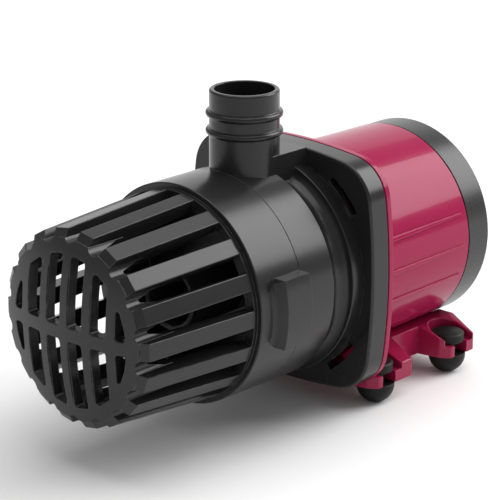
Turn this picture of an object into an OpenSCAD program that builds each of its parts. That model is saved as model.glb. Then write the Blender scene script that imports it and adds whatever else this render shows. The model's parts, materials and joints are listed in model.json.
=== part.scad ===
// Aquarium circulation pump: canned-rotor motor, bayonet volute with an upright
// hose tail, and a pull-off strainer cage. Millimetres, +Z up, front towards -Y,
// origin on the floor under the middle of the pump.
//
// Everything but the feet is drawn in the pump's own axes: x to the right, y up,
// z forward from the rear face of the end cap. A distance along z is a station.

/* [Motor shell] */
// Outer radius of the motor shell and the end cap
motor_r = 49; // [47:0.5:50.5]
// Wall of the motor shell
shell_wall = 2.6; // [2.2:0.1:3.2]
// Length of the end cap
cap_len = 16; // [13:0.5:22]
// Length of the round part of the shell, from the end cap to its flange
shell_len = 66.5; // [64:0.5:76]
// Thickness of the shell's flange
shell_flange_t = 3.5; // [3:0.1:5]
// Height of the fine ridges along the shell
ridge_h = 0.7; // [0.4:0.1:1.2]
// Width of a shell ridge at the flange
ridge_w = 2.7; // [2:0.1:3.5]
// Width of a shell ridge at its end near the cap
ridge_end_w = 1; // [0.6:0.1:1.6]
// Angle between neighbouring ridges
ridge_pitch = 18; // [14:1:22]

/* [Flange] */
// Half width of the square flange, across its flats
flange_half = 57.2; // [57:0.1:60]
// Radius of the flange's bowed sides
flange_bow_r = 282; // [220:2:400]
// Radius of the flange's corners
flange_corner_r = 20; // [16:0.5:24]
// Depth of the volute's flange skirt
skirt_depth = 11.5; // [11.5:0.5:15]
// Wall of the volute's flange
flange_wall = 2.8; // [2.2:0.1:3]
// Angle that the volute turns to unlock
unlock_angle = 15; // [12:0.5:16]
// Half angle of a bayonet window
window_half_angle = 10.5; // [9:0.5:12]
// Half angle of a bayonet lug
lug_half_angle = 5.5; // [4:0.5:6.5]
// Inner radius of the bayonet windows and lugs
lug_in_r = 53.2; // [53:0.1:53.8]
// Outer radius of the bayonet windows
window_out_r = 57; // [56.5:0.1:57.5]
// Thickness of a bayonet lug, and of a claw
lug_t = 2.4; // [2:0.1:2.8]

/* [Volute] */
// Outer radius of the volute's barrel and the strainer's collar
barrel_r = 51; // [50:0.5:51.5]
// Length of the barrel, from its front seam to the start of the cove
barrel_len = 20.5; // [19:0.5:26]
// Length of the cove between barrel and lip
cove_len = 12; // [10:0.5:14]
// Depth of the cove
cove_depth = 3.6; // [2.5:0.1:4]
// Outer radius of the lip ring
lip_r = 52; // [51.6:0.1:52.6]
// Length of the lip ring in front of the flange
lip_len = 7.5; // [6:0.5:9]
// Radius of the pumping chamber
chamber_r = 44; // [43.5:0.1:44.5]
// Thickness of the volute's front wall
front_wall = 3; // [2.5:0.1:4]
// Outer radius of the intake tube
intake_r = 15.5; // [15:0.1:17]
// Wall of the intake tube
intake_wall = 2.2; // [1.8:0.1:2.6]
// Length of the intake tube, in front of the volute's front wall
intake_len = 33; // [28:1:36]
// Length of the spigot that carries the strainer
spigot_len = 13; // [10:0.5:16]
// Wall of the spigot
spigot_wall = 2.5; // [2:0.1:3.5]

/* [Hose tail] */
// Outer radius of the hose tail
tail_r = 16; // [15:0.5:16.5]
// Wall of the hose tail
tail_wall = 2.4; // [2:0.1:3]
// Height of the hose tail's rim above the pump axis
tail_top = 86.5; // [82:0.5:100]
// Radius of the round edge on the rim
tail_rim_round = 1.1; // [0.6:0.1:1.2]
// Radius of a hose bead's section
bead_r = 1.9; // [1.2:0.1:2.2]
// Distance from the rim to the first bead
bead_drop = 11; // [9:0.5:13]
// Distance between the two beads
bead_pitch = 8.2; // [7:0.2:10]

/* [Strainer] */
// Length of the collar that slides over the spigot
collar_len = 27; // [24:0.5:30]
// Wall of the collar
collar_wall = 2.5; // [2:0.1:3]
// Length of the ribs, from the collar to the face's shoulder
rib_len = 60; // [56:1:72]
// Number of ribs
rib_count = 18; // [14:2:20]
// Width of a rib
rib_w = 8; // [7:0.5:9]
// Depth of a rib towards the axis
rib_depth = 5.5; // [4:0.5:6]
// Radius of the rib tops at the shoulder
rib_front_r = 44.9; // [43.5:0.1:46]
// Outer radius of the face at its edge
face_r = 41.8; // [41:0.1:42.4]
// Depth of the notches between the ribs, at the edge of the face
notch_depth = 1.6; // [1:0.1:2]
// Length of the rim behind the face
rim_len = 9; // [7:0.5:12]
// Rise of the domed face
dome_rise = 6.4; // [4:0.5:7]
// Thickness of the face
face_t = 5; // [4:0.5:6]
// Radius of the circle that the face slots fill
slot_field_r = 34.5; // [33:0.5:35]
// Width of a face slot
slot_w = 8.2; // [7:0.1:8.6]
// Width of an upright bar between face slots
slot_bar = 5; // [4.6:0.1:6]
// Height of the level bar across the face
cross_bar = 6.2; // [5:0.1:8]
// Reach of the outermost face slots above and below the level of the axis
outer_slot_h = 15.8; // [13:0.1:17]
// How far the grip blocks on the collar stay inside the flange's flats
grip_inset = 0.2; // [0:0.1:1.5]
// Length of a grip block
grip_len = 16.5; // [14:0.5:18]
// Half angle of a grip block
grip_half_angle = 16.3; // [13:0.1:18]

/* [Foot bracket and feet] */
// How far a foot's axis stays inside the side of the motor shell
foot_inset = 9; // [7.5:0.5:11]
// Height of a foot's ball centre below the lower flat of the flange
ball_drop = 1.1; // [0.8:0.1:3.8]
// Radius of a foot's ball
foot_r = 9; // [8:0.1:9.5]
// Station of the rear feet
rear_foot_at = 19.2; // [18:0.1:22]
// Distance between the front and rear feet
foot_pitch = 54.3; // [52:0.1:56]
// Radius of the flat under a foot's ball
foot_flat_r = 2.6; // [2:0.1:4]
// Radius of a foot's button
button_r = 8.2; // [7.6:0.1:8.3]
// Height of a foot's button
button_h = 5; // [3.5:0.1:5.5]
// Radius of a foot's neck
neck_r = 4.4; // [4:0.1:5]
// Thickness of a fork's floor
fork_floor = 5.7; // [4.5:0.1:6]
// Reach of a fork's tips beyond the foot's axis
fork_reach = 8.4; // [7:0.1:9.4]
// Height of the ledge beside the shell, above the bracket's underside
ledge_h = 14.1; // [13:0.1:15]
// Distance from the pump axis across to the side of the bracket
ledge_x = 32.2; // [31:0.1:33]
// Height of a fork's tip above the bracket's underside
fork_tip_h = 8.5; // [7:0.1:9]
// Half width of a rear fork
fork_half_w = 10.9; // [10.4:0.1:11.5]
// Extra width of a front fork on its rear side
fork_wing = 8; // [4:0.5:8]
// Half width of a fork where it leaves the bracket's side
fork_root_w = 13.2; // [12:0.1:14]

/* [Rotor] */
// Radius of the ceramic shaft
shaft_r = 2.5; // [2.5:0.1:3]
// Radius of the ring magnet
magnet_r = 13; // [12:0.1:13.5]
// Length of the ring magnet
magnet_len = 34; // [28:0.5:36]
// Wall of the jacket around the magnet
jacket_wall = 0.9; // [0.7:0.1:1.2]
// Radius of the impeller
impeller_r = 38; // [34:0.5:39]
// Height of the impeller's vanes
vane_h = 13; // [10:0.5:15]
// Thickness of a vane
vane_t = 2; // [1.6:0.1:2.6]
// Number of vanes
vane_count = 6; // [4:1:7]
// Radius of a bearing bush
bush_r = 5.5; // [5:0.1:6]
// Length of a bearing bush
bush_len = 8; // [6:0.5:9]

/* [Stator] */
// Gap between the shell's wall and the stator, which the stator's seats bridge
stator_gap = 2.4; // [2.2:0.1:4]
// Length of the stator's laminations
stator_len = 30; // [24:0.5:32]
// Number of stator teeth
tooth_count = 6; // [6:3:6]

/* [Fits] */
// Radial clearance of a running fit
run_fit = 0.05; // [0.03:0.01:0.08]
// Radial clearance of a sliding plastic fit
slide_fit = 0.3; // [0.2:0.05:0.4]
// Gap between pieces that meet without pressing
seat_gap = 0.15; // [0.1:0.05:0.2]

/* [Hidden] */

// ---- stations, forward from the rear face of the end cap ----
shell_front = cap_len + shell_len;
flange_seam = shell_front + shell_flange_t;
skirt_front = flange_seam + skirt_depth;
lip_front = skirt_front + lip_len;
cove_front = lip_front + cove_len;
barrel_front = cove_front + barrel_len;
collar_front = barrel_front + collar_len;
end_ring_len = 2;
end_ring_front = collar_front + end_ring_len;
shoulder_at = collar_front + rib_len;
chamfer_run = 3.1;
face_edge = shoulder_at + chamfer_run;
pump_len = face_edge + dome_rise;
tail_at = barrel_front - tail_r - 0.5;

// ---- placing of the pump over the floor ----
foot_drop = flange_half + ball_drop;
foot_x = motor_r - foot_inset;
foot_squash = foot_r - sqrt(foot_r * foot_r - foot_flat_r * foot_flat_r);
axis_h = foot_drop + foot_r - foot_squash;
rear_y = pump_len / 2;

// ---- hull radii ----
shell_in_r = motor_r - shell_wall;
stator_r = shell_in_r - stator_gap;
boss_r = chamber_r - 0.4;
boss_wall = 7;
boss_h = 6;
seal_bore_r = boss_r + slide_fit;
ring_r = seal_bore_r + 3.2;
tail_bore_r = tail_r - tail_wall;
intake_bore_r = intake_r - intake_wall;
collar_in_r = barrel_r - collar_wall;
spigot_r = collar_in_r - slide_fit;
rib_rear_r = collar_in_r - 0.3;
step_draft = 2;
grip_r = flange_half - grip_inset;
notch_r = face_r - notch_depth;
rim_wall = 3.6;
dome_r = (face_r * face_r + dome_rise * dome_rise) / (2 * dome_rise);
shell_fillet = 4;
chamber_wide_r = 48;

// ---- bayonet ----
claw_gap = 0.35;
claw_front = flange_seam + claw_gap + lug_t;
lug_rear = claw_front + claw_gap;
lug_front = lug_rear + lug_t;
lug_out_r = window_out_r + 1.2;
claw_r = lug_in_r + 2.2;
stop_w = 1.6;

// ---- rotor, along the shaft ----
wiring_space = 20;
stator_at = cap_len + wiring_space;
magnet_at = stator_at + (stator_len - magnet_len) / 2;
jacket_end = 1;
jacket_r = magnet_r + jacket_wall;
magnet_in_r = bush_r + 2.9;
neck_rotor_r = magnet_in_r;
can_gap = 0.6;
can_in_r = jacket_r + can_gap;
can_wall = 1;
can_r = can_in_r + can_wall;
can_floor = 2;
cushion_len = 6;
cushion_r = 5;
can_boss_r = cushion_r + 2.5;
washer_t = 1.2;
washer_gap = 0.3;
washer_r = shaft_r + 2.4;
jacket_rear = magnet_at - jacket_end;
washer_rear_at = jacket_rear - washer_gap - washer_t;
can_rear = washer_rear_at - cushion_len - can_floor;
can_flange_r = 24;
can_flange_t = 1.5;
well_at = flange_seam + can_flange_t;
well_r = boss_r - boss_wall - seat_gap;
well_wall = 2.5;
well_top = lip_front - 1;
hub_r = neck_rotor_r + 2.2;
impeller_back = well_top + 2.5;
back_t = 2;
vane_back = impeller_back + back_t;
vane_front = vane_back + vane_h;
shroud_t = 1.8;
eye_r = intake_bore_r + 0.2;
spigot_rotor_r = bush_r + 1.5;
hub_len = 10.5;
hub_front = impeller_back + hub_len;
washer_front_at = hub_front + washer_gap;
spider_rear = washer_front_at + washer_t + washer_gap;
spider_hub_r = 7.4;
cushion_front_len = 11;
spider_front = spider_rear + cushion_front_len + 2;
shaft_front = spider_rear + cushion_front_len - 1.5;
shaft_rear = can_rear + can_floor + 1.5;
eye_tube_rear = vane_front + shroud_t + 0.8;

// ---- end cap ----
cap_floor = 3;
plug_r = shell_in_r - seat_gap;
plug_wall = 4;
plug_len = 5;
plug_front = cap_len + plug_len;
cap_round = 1.6;
screw_ring_r = 40;
pillar_r = 4.6;
post_r = 3.6;
post_len = 7.6;
screw_r = 1.5;
screw_hole_r = screw_r + run_fit;
screw_head_r = 2.8;
screw_well_r = screw_head_r + 0.4;
screw_head_t = 1.8;
screw_seat = 9;
screw_len = 18;
screw_angles = [45, 135, 225, 315];
gland_y = -24;
gland_pocket_r = 10.5;
gland_pocket = 7;
gland_hex_r = 8.4;
gland_shank_r = 5.6;
gland_bore_r = 3.2;
board_r = 34.8;
board_t = 1.6;
board_cut_y = -12;
board_at = 12.4;
board_front = board_at + board_t;
standoff_ring_r = 30;
standoff_r = 2.6;
standoff_pin_r = 1.1;
standoff_angles = [0, 60, 120, 180];
cap_wall = 3;
capacitor_r = 4;
capacitor_h = 8;
capacitor_pitch = 14;
capacitor_low = 10;
capacitor_high = 18;
capacitor_spots = [
    [-capacitor_pitch, capacitor_low], [0, capacitor_high], [capacitor_pitch, capacitor_low],
];

// ---- stator ----
tooth_w = 9;
yoke_t = 5;
shoe_half_angle = 23;
shoe_t = 2.6;
frame_t = 1.4;
frame_h = 7;
coil_t = 3.6;
coil_gap = 0.25;
coil_in_r = can_r + seat_gap + shoe_t + 1.4;
coil_out_r = stator_r - yoke_t - 2.5;

// ---- seals ----
seal_sec_r = 1.2;
seal_at = flange_seam + boss_h / 2;
cap_seal_at = cap_len + plug_len / 2 + 0.2;

// ---- bracket ----
under_y = -(foot_drop - 1.2);
bracket_front = shell_front - seat_gap;
bracket_rear = rear_foot_at - fork_root_w;
front_foot_at = rear_foot_at + foot_pitch;
slot_half_w = neck_r + 0.3;
tip_chamfer = 4.5;
bracket_wall = 3;
foot_gap = 0.05;
button_crown_r = 60;
pocket_r = button_r + 1.1;

module pump_frame() translate([0, rear_y, axis_h]) rotate([90, 0, 0]) children();

module at(station) translate([0, 0, station]) children();

// A tube or disc about the pump axis between two stations.
module ring(outer, inner, from, to) {
    at(from) difference() {
        cylinder(r = outer, h = to - from);
        if (inner > 0) translate([0, 0, -1]) cylinder(r = inner, h = to - from + 2);
    }
}

// A round cut about the pump axis between two stations.
module bore(r, from, to) at(from) cylinder(r = r, h = to - from);

// Copies about the pump axis at the four corners of the flange.
module corners() for (k = [0:3]) rotate(45 + 90 * k) children();

// A sector of a ring, from angle a to angle b.
module sector(inner, outer, a, b, from, to) {
    at(from) rotate(a) rotate_extrude(angle = b - a)
        translate([inner, 0]) square([outer - inner, to - from]);
}

// ---- the rounded, bowed square that both flanges share ----
// The corner circle lies inside the side arcs and touches them, which sets its centre.
function corner_centre(half, bow, corner) =
    let (a = half - bow, d = bow - corner) (a + sqrt(2 * d * d - a * a)) / 2;

function side_reach(half, bow, corner) =
    let (c = corner_centre(half, bow, corner)) atan2(c, c - half + bow);

function flange_quarter(half, bow, corner, side_n = 10, corner_n = 10) =
    let (
        c = corner_centre(half, bow, corner),
        reach = side_reach(half, bow, corner),
        side = [for (i = [0:side_n - 1]) let (t = -reach + 2 * reach * i / side_n)
            [half - bow + bow * cos(t), bow * sin(t)]],
        round = [for (i = [0:corner_n - 1]) let (t = reach + (90 - 2 * reach) * i / corner_n)
            [c + corner * cos(t), c + corner * sin(t)]]
    ) concat(side, round);

module flange_outline(inset = 0) {
    quarter = flange_quarter(flange_half - inset, flange_bow_r - inset, flange_corner_r - inset);
    polygon([for (k = [0:3], p = quarter)
        [p[0] * cos(90 * k) - p[1] * sin(90 * k), p[0] * sin(90 * k) + p[1] * cos(90 * k)]]);
}

// ---- motor shell ----
module shell_ridges() {
    rear = cap_len + 4;
    front = shell_front - 1;
    for (side = [0, 1], k = [-1:1]) mirror([side, 0, 0])
        rotate(k * ridge_pitch) rotate([90, 0, 90]) translate([0, 0, motor_r - 1])
            linear_extrude(1 + ridge_h) polygon([
                [0, rear], [0, front], [-ridge_w, front], [-ridge_end_w, rear],
            ]);
}

// The seat ribs that hold the stator inside the shell.
module stator_seats() {
    for (k = [0:5]) rotate(60 * k + 30)
        translate([stator_r + run_fit, -2, stator_at - 1])
            cube([shell_in_r - stator_r - run_fit + 0.5, 4, shell_front - stator_at + 2]);
}

module screw_posts() {
    for (a = screw_angles) rotate(a) difference() {
        at(plug_front + seat_gap) union() {
            translate([screw_ring_r, 0, 0]) cylinder(r = post_r, h = post_len);
            translate([screw_ring_r, -post_r / 2, 0])
                cube([shell_in_r - screw_ring_r + 0.5, post_r, post_len]);
        }
        translate([screw_ring_r, 0, plug_front]) cylinder(r = screw_hole_r, h = post_len + 1);
    }
}

// Lug, its post and the stop that the claw meets when it is locked.
module bayonet_lug() {
    sector(lug_in_r, lug_out_r, -lug_half_angle, lug_half_angle, lug_rear, lug_front);
    sector(claw_r + claw_gap, lug_out_r, -lug_half_angle, lug_half_angle,
        flange_seam - 1, lug_front);
    sector(lug_in_r, claw_r + claw_gap + 0.5, -lug_half_angle - 0.2, -lug_half_angle + stop_w,
        flange_seam - 1, lug_front);
}

module shell_flange_fillet() {
    at(shell_front - shell_fillet) rotate_extrude() difference() {
        translate([motor_r - 1, 0]) square([1 + shell_fillet, shell_fillet + 0.5]);
        translate([motor_r + shell_fillet, 0]) circle(r = shell_fillet, $fn = 64);
    }
}

module motor_shell() {
    color([0.62, 0.16, 0.32]) pump_frame() difference() {
        union() {
            ring(motor_r, shell_in_r, cap_len + seat_gap, shell_front + 1);
            at(shell_front) linear_extrude(shell_flange_t) flange_outline();
            shell_flange_fillet();
            shell_ridges();
            stator_seats();
            screw_posts();
            ring(boss_r, boss_r - boss_wall, flange_seam - 1, flange_seam + boss_h);
            corners() rotate(1) bayonet_lug();
        }
        bore(can_r + seat_gap, shell_front - 1, flange_seam + 1);
        ring(boss_r + 1, seal_bore_r - 2 * seal_sec_r - 2 * run_fit,
            seal_at - seal_sec_r - 0.2, seal_at + seal_sec_r + 0.2);
    }
}

// A round sealing ring about the pump axis.
module o_ring(outer, section, station) {
    at(station) rotate_extrude() translate([outer - section, 0]) circle(r = section, $fn = 32);
}

// ---- rotor can, shaft and their seats ----
module rotor_can() {
    color([0.12, 0.12, 0.13]) pump_frame() difference() {
        union() {
            ring(can_r, 0, can_rear, flange_seam + can_flange_t);
            ring(can_flange_r, 0, flange_seam + run_fit, flange_seam + can_flange_t);
        }
        difference() {
            bore(can_in_r, can_rear + can_floor, flange_seam + can_flange_t + 1);
            bore(can_boss_r, can_rear, can_rear + can_floor + cushion_len);
        }
        bore(cushion_r + run_fit, can_rear + can_floor, flange_seam);
    }
}

module shaft() {
    color([0.9, 0.9, 0.87]) pump_frame() bore(shaft_r, shaft_rear, shaft_front);
}

// A rubber cup that holds one end of the shaft.
module shaft_cushion_rear() {
    color([0.16, 0.16, 0.16]) pump_frame() difference() {
        bore(cushion_r, can_rear + can_floor + run_fit, can_rear + can_floor + cushion_len);
        bore(shaft_r + run_fit, shaft_rear - run_fit, flange_seam);
    }
}

module shaft_cushion_front() {
    color([0.16, 0.16, 0.16]) pump_frame() difference() {
        bore(cushion_r, spider_rear, spider_rear + cushion_front_len);
        bore(shaft_r + run_fit, spider_rear - 1, shaft_front + run_fit);
    }
}

module thrust_washer(station) {
    ring(washer_r, shaft_r + 2 * run_fit, station + run_fit, station + washer_t);
}

module thrust_washer_rear() {
    color([0.92, 0.9, 0.84]) pump_frame() thrust_washer(washer_rear_at);
}

module thrust_washer_front() {
    color([0.92, 0.9, 0.84]) pump_frame() thrust_washer(washer_front_at);
}

// The stepped plate that closes the rotor well and backs the pumping chamber.
module well_plate() {
    color([0.18, 0.18, 0.19]) pump_frame() difference() {
        bore(well_r, well_at, well_top);
        bore(well_r - well_wall, well_at - 1, well_top - well_wall);
        bore(hub_r, well_at, well_top + 1);
    }
}

// ---- stator ----
module tooth_places() for (k = [0:tooth_count - 1]) rotate(k * 360 / tooth_count) children();

module stator_core() {
    shoe_in_r = can_r + seat_gap;
    color([0.55, 0.56, 0.58]) pump_frame() {
        difference() {
            union() {
                ring(stator_r, stator_r - yoke_t, stator_at, stator_at + stator_len);
                tooth_places() translate([shoe_in_r + 1, -tooth_w / 2, stator_at])
                    cube([stator_r - yoke_t - shoe_in_r, tooth_w, stator_len]);
                tooth_places() sector(shoe_in_r, shoe_in_r + shoe_t,
                    -shoe_half_angle, shoe_half_angle, stator_at, stator_at + stator_len);
            }
            bore(shoe_in_r, stator_at - 1, stator_at + stator_len + 1);
        }
    }
}

module stator_frame() {
    difference() {
        union() {
            ring(stator_r - 0.6, stator_r - yoke_t - 1.4, 0, frame_t);
            ring(stator_r - yoke_t + 0.1, stator_r - yoke_t - 1.4, 0, frame_h);
            ring(coil_in_r - coil_gap, can_r + 1, 0, frame_h);
            tooth_places() translate([coil_in_r - 1, -tooth_w / 2, 0])
                cube([coil_out_r - coil_in_r + 3, tooth_w, frame_t]);
        }
    }
}

module stator_frame_front() {
    color([0.86, 0.86, 0.8]) pump_frame() at(stator_at + stator_len + run_fit) stator_frame();
}

module stator_frame_rear() {
    color([0.86, 0.86, 0.8]) pump_frame() at(stator_at - run_fit) mirror([0, 0, 1]) stator_frame();
}

module stator_coils() {
    window_w = tooth_w + 2 * coil_gap;
    window_l = stator_len + 2 * frame_t + 2 * coil_gap + 2 * run_fit;
    depth = coil_out_r - coil_in_r;
    color([0.72, 0.42, 0.2]) pump_frame() tooth_places()
        translate([coil_in_r, 0, stator_at + stator_len / 2]) difference() {
            translate([0, -window_w / 2 - coil_t, -window_l / 2 - coil_t])
                cube([depth, window_w + 2 * coil_t, window_l + 2 * coil_t]);
            translate([-1, -window_w / 2, -window_l / 2]) cube([depth + 2, window_w, window_l]);
        }
}

// ---- driver board ----
module driver_board() {
    color([0.1, 0.35, 0.2]) pump_frame() difference() {
        ring(board_r, 0, board_at + run_fit, board_front);
        translate([-board_r - 1, -board_r - 1, board_at - 1])
            cube([2 * board_r + 2, board_r + 1 + board_cut_y, board_t + 2]);
        standoff_places() bore(standoff_pin_r + 0.15, board_at - 1, board_front + 1);
    }
}

module standoff_places() for (a = standoff_angles) rotate(a)
    translate([standoff_ring_r, 0, 0]) children();

module board_capacitors() {
    color([0.2, 0.22, 0.3]) pump_frame() for (spot = capacitor_spots)
        translate([spot[0], spot[1], 0])
            bore(capacitor_r, board_front + run_fit, board_front + capacitor_h);
}

// ---- end cap ----
module cap_profile() {
    polygon([
        [0, 0], [motor_r - cap_round, 0],
        for (i = [1:7]) [motor_r - cap_round + cap_round * sin(90 * i / 8),
            cap_round - cap_round * cos(90 * i / 8)],
        [motor_r, cap_round], [motor_r, cap_len],
        [plug_r, cap_len], [plug_r, plug_front],
        [plug_r - plug_wall, plug_front], [plug_r - plug_wall, cap_len - 2],
        [motor_r - cap_wall, cap_len - 6], [motor_r - cap_wall, cap_floor], [0, cap_floor],
    ]);
}

module end_cap() {
    color([0.4, 0.4, 0.4]) pump_frame() difference() {
        union() {
            rotate_extrude() cap_profile();
            for (a = screw_angles) rotate(a) translate([screw_ring_r, 0, 0])
                rotate(180) bore(pillar_r, cap_floor - 1, plug_front - 0.4);
            translate([0, gland_y, 0])
                bore(gland_pocket_r + cap_floor, cap_floor - 1, gland_pocket + cap_floor);
            standoff_places() {
                bore(standoff_r, cap_floor - 1, board_at);
                bore(standoff_pin_r, board_at - 1, board_front + 0.8);
            }
        }
        for (a = screw_angles) rotate(a) translate([screw_ring_r, 0, 0]) {
            bore(screw_well_r, -1, screw_seat);
            bore(screw_r + 0.2, -1, plug_front + 1);
        }
        translate([0, gland_y, 0]) {
            bore(gland_pocket_r, -1, gland_pocket);
            bore(gland_shank_r + run_fit, -1, plug_front);
        }
        ring(motor_r, shell_in_r - 2 * seal_sec_r - 2 * run_fit,
            cap_seal_at - seal_sec_r - 0.2, cap_seal_at + seal_sec_r + 0.2);
    }
}

module cap_seal() {
    color([0.1, 0.1, 0.1]) pump_frame() o_ring(shell_in_r - run_fit, seal_sec_r, cap_seal_at);
}

module volute_seal() {
    color([0.1, 0.1, 0.1]) pump_frame() o_ring(seal_bore_r - run_fit, seal_sec_r, seal_at);
}

module cap_screws() {
    color([0.75, 0.75, 0.77]) pump_frame() for (a = screw_angles) rotate(a)
        translate([screw_ring_r, 0, 0]) difference() {
            union() {
                bore(screw_head_r, screw_seat - run_fit - screw_head_t, screw_seat - run_fit);
                bore(screw_r, screw_seat - 0.5, screw_seat + screw_len);
            }
            at(screw_seat - screw_head_t - 1) cylinder(r = 1.2, h = 2, $fn = 6);
        }
}

module cable_gland() {
    hex_rear = 1.4;
    color([0.14, 0.14, 0.15]) pump_frame() translate([0, gland_y, 0]) difference() {
        union() {
            at(hex_rear) cylinder(r = gland_hex_r, h = gland_pocket - hex_rear - run_fit, $fn = 6);
            bore(gland_shank_r, gland_pocket - 1, gland_pocket + cap_floor + 2);
            bore(gland_hex_r - 1.6, 0.4, hex_rear + 1);
        }
        bore(gland_bore_r, -1, plug_front);
    }
}

// ---- rotor ----
module rotor_magnet() {
    color([0.3, 0.3, 0.32]) pump_frame()
        ring(magnet_r, magnet_in_r, magnet_at, magnet_at + magnet_len);
}

// The sleeve round the magnet, with the neck that carries the impeller.
module rotor_jacket() {
    front = magnet_at + magnet_len + jacket_end;
    spigot_front = impeller_back + 2.5;
    color([0.15, 0.15, 0.17]) pump_frame() difference() {
        union() {
            bore(jacket_r, jacket_rear, front);
            bore(neck_rotor_r, front - 1, impeller_back);
            bore(spigot_rotor_r, impeller_back - 1, spigot_front);
        }
        bore(shaft_r + 1.2, jacket_rear - 1, spigot_front + 1);
        bore(bush_r + run_fit, jacket_rear - 1, jacket_rear + bush_len);
        ring(magnet_r + run_fit, magnet_in_r - run_fit,
            magnet_at - run_fit, magnet_at + magnet_len + run_fit);
    }
}

module bush(station) ring(bush_r, shaft_r + run_fit, station, station + bush_len - run_fit);

module bush_rear() {
    color([0.93, 0.92, 0.88]) pump_frame() bush(jacket_rear);
}

module bush_front() {
    color([0.93, 0.92, 0.88]) pump_frame() bush(hub_front - bush_len + run_fit);
}

// One backward swept vane, an arc from the eye to the rim.
module vane() {
    sweep_r = 26;
    inner_r = eye_r - 3;
    intersection() {
        ring(impeller_r - 0.4, inner_r, vane_back - 0.5, vane_front);
        translate([inner_r + 2, -sweep_r, 0])
            ring(sweep_r + vane_t / 2, sweep_r - vane_t / 2, vane_back - 0.5, vane_front);
        translate([0, -impeller_r, vane_back - 1])
            cube([impeller_r, impeller_r + 4, vane_h + 2]);
    }
}

module impeller() {
    color([0.2, 0.2, 0.22]) pump_frame() difference() {
        union() {
            bore(impeller_r, impeller_back, vane_back);
            bore(spigot_rotor_r + 2.2, impeller_back, hub_front);
            for (k = [0:vane_count - 1]) rotate(k * 360 / vane_count) vane();
        }
        bore(shaft_r + 1.2, impeller_back - 1, hub_front + 1);
        bore(spigot_rotor_r + run_fit, impeller_back - 1, impeller_back + 2.5 + run_fit);
        bore(bush_r + run_fit, hub_front - bush_len, hub_front + 1);
    }
}

module impeller_shroud() {
    color([0.24, 0.24, 0.26]) pump_frame()
        ring(impeller_r, eye_r, vane_front + run_fit, vane_front + shroud_t);
}

// ---- volute housing ----
module hose_tail_solid() {
    at(tail_at) rotate([-90, 0, 0]) {
        difference() {
            union() {
                cylinder(r = tail_r, h = tail_top - tail_rim_round);
                cylinder(r = tail_r - tail_rim_round, h = tail_top);
                rotate_extrude() translate([tail_r - tail_rim_round, tail_top - tail_rim_round])
                    circle(r = tail_rim_round, $fn = 32);
                for (k = [0:1]) rotate_extrude()
                    translate([tail_r - 0.25, tail_top - bead_drop - k * bead_pitch])
                        circle(r = bead_r, $fn = 32);
            }
        }
    }
}

// The concave neck between the lip and the barrel.
module cove_profile() {
    mid = (lip_front + cove_front) / 2;
    half = cove_len / 2;
    polygon([
        [chamber_r - 2, lip_front - 1],
        for (i = [0:12]) let (t = -1 + 2 * i / 12)
            [barrel_r - 0.4 - cove_depth * sqrt(1 - t * t * 0.98) + 0.4 * (t > 0 ? t : 0),
                mid + t * half],
        [chamber_r - 2, cove_front],
    ]);
}

module volute_flange() {
    difference() {
        at(flange_seam + seat_gap) linear_extrude(skirt_front - flange_seam - seat_gap)
            flange_outline();
        at(flange_seam) linear_extrude(skirt_depth - flange_wall) flange_outline(flange_wall);
    }
}

module windows() corners() sector(lug_in_r, window_out_r, -window_half_angle,
    window_half_angle, skirt_front - flange_wall - 1, skirt_front + 1);

// Claws that hook behind the motor's lugs.
module claws() corners() rotate(1) sector(ring_r - 1, claw_r,
    stop_w - lug_half_angle + 0.4, lug_half_angle, flange_seam + claw_gap, claw_front);

module intake_spider() {
    for (k = [0:2]) rotate(90 + 120 * k)
        translate([spider_hub_r - 1, -1.3, spider_rear + 1])
            cube([intake_bore_r - spider_hub_r + 2, 2.6, spider_front - spider_rear - 1]);
    bore(spider_hub_r, spider_rear, spider_front);
}

module volute_housing() {
    color([0.2, 0.2, 0.2]) pump_frame() difference() {
        union() {
            difference() {
                union() {
                    volute_flange();
                    bore(ring_r, flange_seam + claw_gap, skirt_front);
                    bore(lip_r, skirt_front - flange_wall, lip_front);
                    rotate_extrude() cove_profile();
                    bore(barrel_r, cove_front, barrel_front - run_fit);
                    bore(spigot_r, cove_front, barrel_front + spigot_len);
                    translate([-tail_r, 0, skirt_front - 1])
                        cube([2 * tail_r, flange_half, tail_at - skirt_front + 1]);
                    hose_tail_solid();
                }
                // hollow behind the lip
                ring(lip_r - flange_wall, ring_r, flange_seam, lip_front - flange_wall);
                // pumping chamber
                bore(seal_bore_r, flange_seam - 1, cove_front - 3);
                bore(chamber_wide_r, cove_front + 1, barrel_front - front_wall);
                at(cove_front - 3.1) cylinder(r1 = seal_bore_r, r2 = chamber_wide_r, h = 4.2);
                bore(spigot_r - spigot_wall, barrel_front, barrel_front + spigot_len + 1);
            }
            bore(intake_r, eye_tube_rear, barrel_front + intake_len);
            claws();
        }
        difference() {
            bore(intake_bore_r, eye_tube_rear - 1, barrel_front + intake_len + 1);
            intake_spider();
        }
        bore(cushion_r + run_fit, spider_rear - 1, spider_rear + cushion_front_len);
        at(tail_at) rotate([-90, 0, 0]) translate([0, 0, seal_bore_r - 6])
            cylinder(r = tail_bore_r, h = tail_top);
        windows();
    }
}

// ---- strainer ----

module strainer_rib() {
    rear = collar_front - 1;
    rotate([90, 0, 0]) translate([0, 0, -rib_w / 2]) linear_extrude(rib_w) polygon([
        [rib_rear_r - rib_depth, rear], [rib_rear_r - 0.1, rear], [rib_rear_r, end_ring_front],
        [rib_front_r, shoulder_at], [rib_front_r - 7, shoulder_at + 7],
        [notch_r - rim_wall + 0.4, shoulder_at + 7], [notch_r - rim_wall + 0.4, face_edge - rim_len + 1],
    ]);
}

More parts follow.
